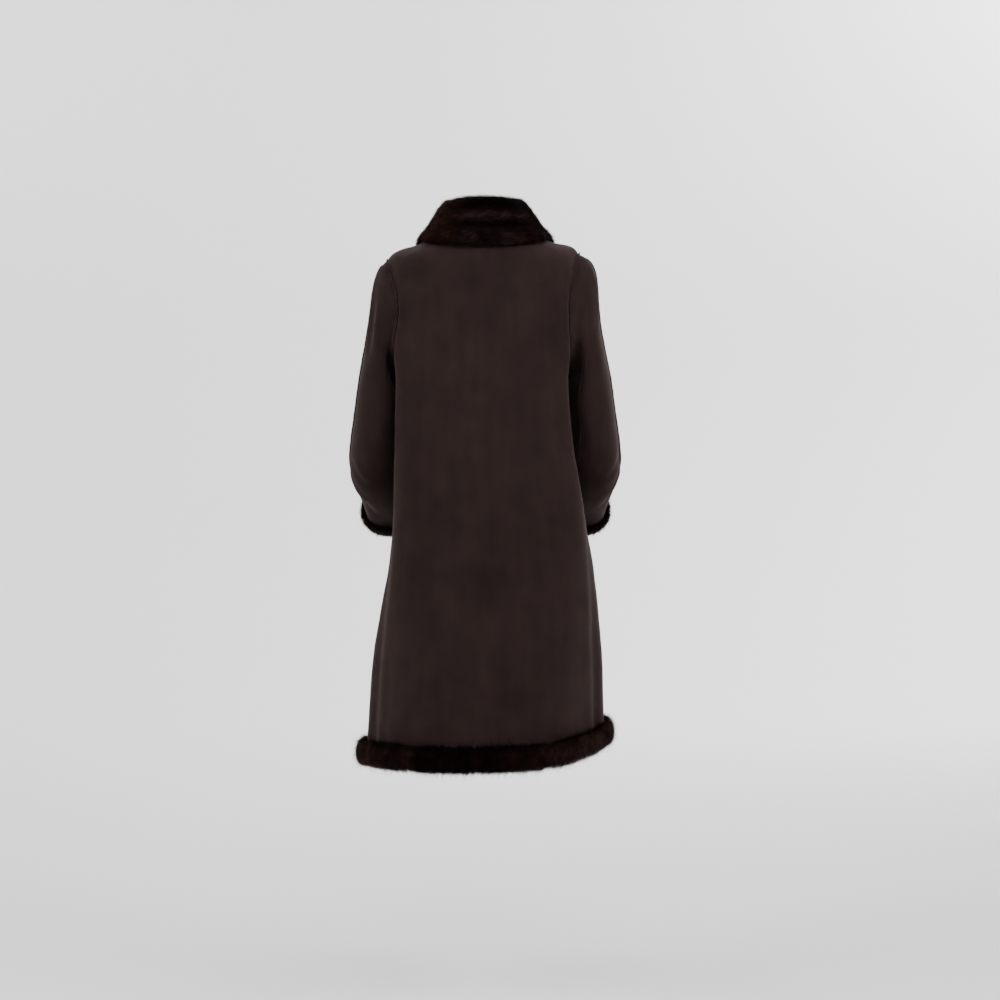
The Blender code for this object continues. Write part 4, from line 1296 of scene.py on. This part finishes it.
# Painted highlights: two pale patches below the crease.
low_painted_highlights = np.exp(-(((np.abs(middle[..., 0] - CREASE_X) - 0.042) / 0.018) ** 2))
tone_and_painted_light += (0.45 * low_painted_highlights - 0.25) * band(0.14, 0.12) * across_back
warm = np.clip(0.9 - 0.75 * across_back + 0.2 * wander(middle, 0.04, 73), 0, 1)
hair_falls = (0.55 - 0.35 * across_back)[..., None]
collar = loft(
    "collar_pelt", loops, (pelt,),
    attributes=[
        ("comb", "FLOAT_VECTOR", all_round(sideways * 0.8 + down * hair_falls)),
        ("pile", "FLOAT", all_round(1 - 0.75 * band(CREASE_AT, 0.10) * across_back, 0.12)),
        ("tone_and_painted_light", "FLOAT", all_round(np.clip(tone_and_painted_light, 0.04, 1.6))),
        ("warm", "FLOAT", all_round(warm)),
    ],
)
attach(collar, "root")
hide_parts("collar_fall")
collar_hair = grow_hair(
    collar, "collar_hair", Seed=90, Length=0.014, Rise=0.30,
    Strands_per_square_metre=COLLAR_STRANDS,
)
collar_guard = grow_guard_hair(collar, "collar_guard_hair", 0.019, 0.34, 92)
# The short fur inside the stand, on a copy of its inner face that is taken away again.
_, stand, stand_normal = cloth["collar_stand"]
inner = stand - stand_normal * WALL
lining = make_piece(
    "stand_lining", inner.reshape(-1, 3), grid_faces(*inner.shape[:2], 0, -1), (pelt,),
    attributes=[
        ("comb", "FLOAT_VECTOR", np.full(inner.shape, (0.0, 0.0, -1.0))),
        ("pile", "FLOAT", np.ones(inner.shape[:2])),
        ("tone_and_painted_light", "FLOAT", np.full(inner.shape[:2], 0.6)),
        ("warm", "FLOAT", np.full(inner.shape[:2], 0.5)),
    ],
)
stand_hair = grow_hair(
    lining, "stand_hair", Seed=95, Length=0.008, Rise=0.35,
    Strands_per_square_metre=STAND_STRANDS,
)
bpy.data.objects.remove(lining)


# ================================================================ camera, floor and light
# A round pale floor that curves up into a plain wall all round, with large soft lights: one above,
# one at each side, one low in front and two that only light the wall.
FLOOR_Z = -1.50
CAMERA_PLACE, LENS, SENSOR = (-0.03, 4.0, -0.5), 72.0, 36.0
ROOM_RADIUS, ROOM_CURVE, ROOM_TOP, ROOM_STEPS, DISC_RADIUS = 7.0, 2.0, 6.0, 72, 0.6
Lamp = namedtuple("Lamp", "name place size power aim")
LAMPS = (
    Lamp("overhead", (-0.2, 2.1, 2.6), 1.7, 66, (0, 0, 0.0)),
    Lamp("left_side", (2.4, 1.4, 1.9), 1.5, 84, (0, 0, 0.0)),
    Lamp("right_side", (-2.4, 1.4, 1.9), 1.5, 88, (0, 0, 0.0)),
    Lamp("front_fill", (0.6, -3.2, 2.9), 1.6, 70, (0, 0, -0.3)),
    Lamp("wall_left", (4.0, -4.0, 3.0), 2.0, 130, (1.5, -7.0, 1.6)),
    Lamp("wall_right", (-4.2, -4.4, 3.2), 2.0, 640, (-2.6, -7.0, 1.9)),
)
camera_data = bpy.data.cameras.new("camera")
camera_data.lens, camera_data.sensor_width = LENS, SENSOR
camera = bpy.data.objects.new("camera", camera_data)
camera.location = CAMERA_PLACE
camera.rotation_euler = (math.pi / 2, 0, math.pi)
bpy.context.scene.collection.objects.link(camera)
bpy.context.scene.camera = camera

# The room's profile from the middle out: a flat floor, a quarter round and the wall.
profile = [(DISC_RADIUS, FLOOR_Z), (ROOM_RADIUS - ROOM_CURVE, FLOOR_Z)]
for a in np.radians(np.arange(10, 91, 10)):
    r = ROOM_RADIUS - ROOM_CURVE * (1 - math.sin(a))
    profile.append((r, FLOOR_Z + ROOM_CURVE * (1 - math.cos(a))))
profile.append((ROOM_RADIUS, ROOM_TOP))
room_turns = np.linspace(0, 2 * math.pi, ROOM_STEPS, endpoint=False)
room_points = [(r * math.cos(a), r * math.sin(a), z) for r, z in profile for a in room_turns]
room_faces = [list(range(ROOM_STEPS))]
for ring in range(len(profile) - 1):
    for k in range(ROOM_STEPS):
        here, beside = ring * ROOM_STEPS + k, ring * ROOM_STEPS + (k + 1) % ROOM_STEPS
        room_faces.append((here, here + ROOM_STEPS, beside + ROOM_STEPS, beside))
paper, _, paper_shader, _ = new_finish("backdrop_paper")
paper_shader.inputs["Base Color"].default_value = (0.80, 0.795, 0.80, 1)
paper_shader.inputs["Roughness"].default_value = 0.9
backdrop = make_piece("backdrop", room_points, room_faces, (paper,))

for lamp in LAMPS:
    light = bpy.data.lights.new(lamp.name, "AREA")
    light.size, light.energy = lamp.size, lamp.power
    stand_in = bpy.data.objects.new(lamp.name, light)
    stand_in.location = lamp.place
    aim = Vector(lamp.aim) - Vector(lamp.place)
    stand_in.rotation_euler = aim.to_track_quat("-Z", "Y").to_euler()
    bpy.context.scene.collection.objects.link(stand_in)
world = bpy.data.worlds.new("studio")
world.use_nodes = True
world.node_tree.nodes["Background"].inputs["Color"].default_value = (1, 1, 1, 1)
world.node_tree.nodes["Background"].inputs["Strength"].default_value = 0.30
bpy.context.scene.world = world
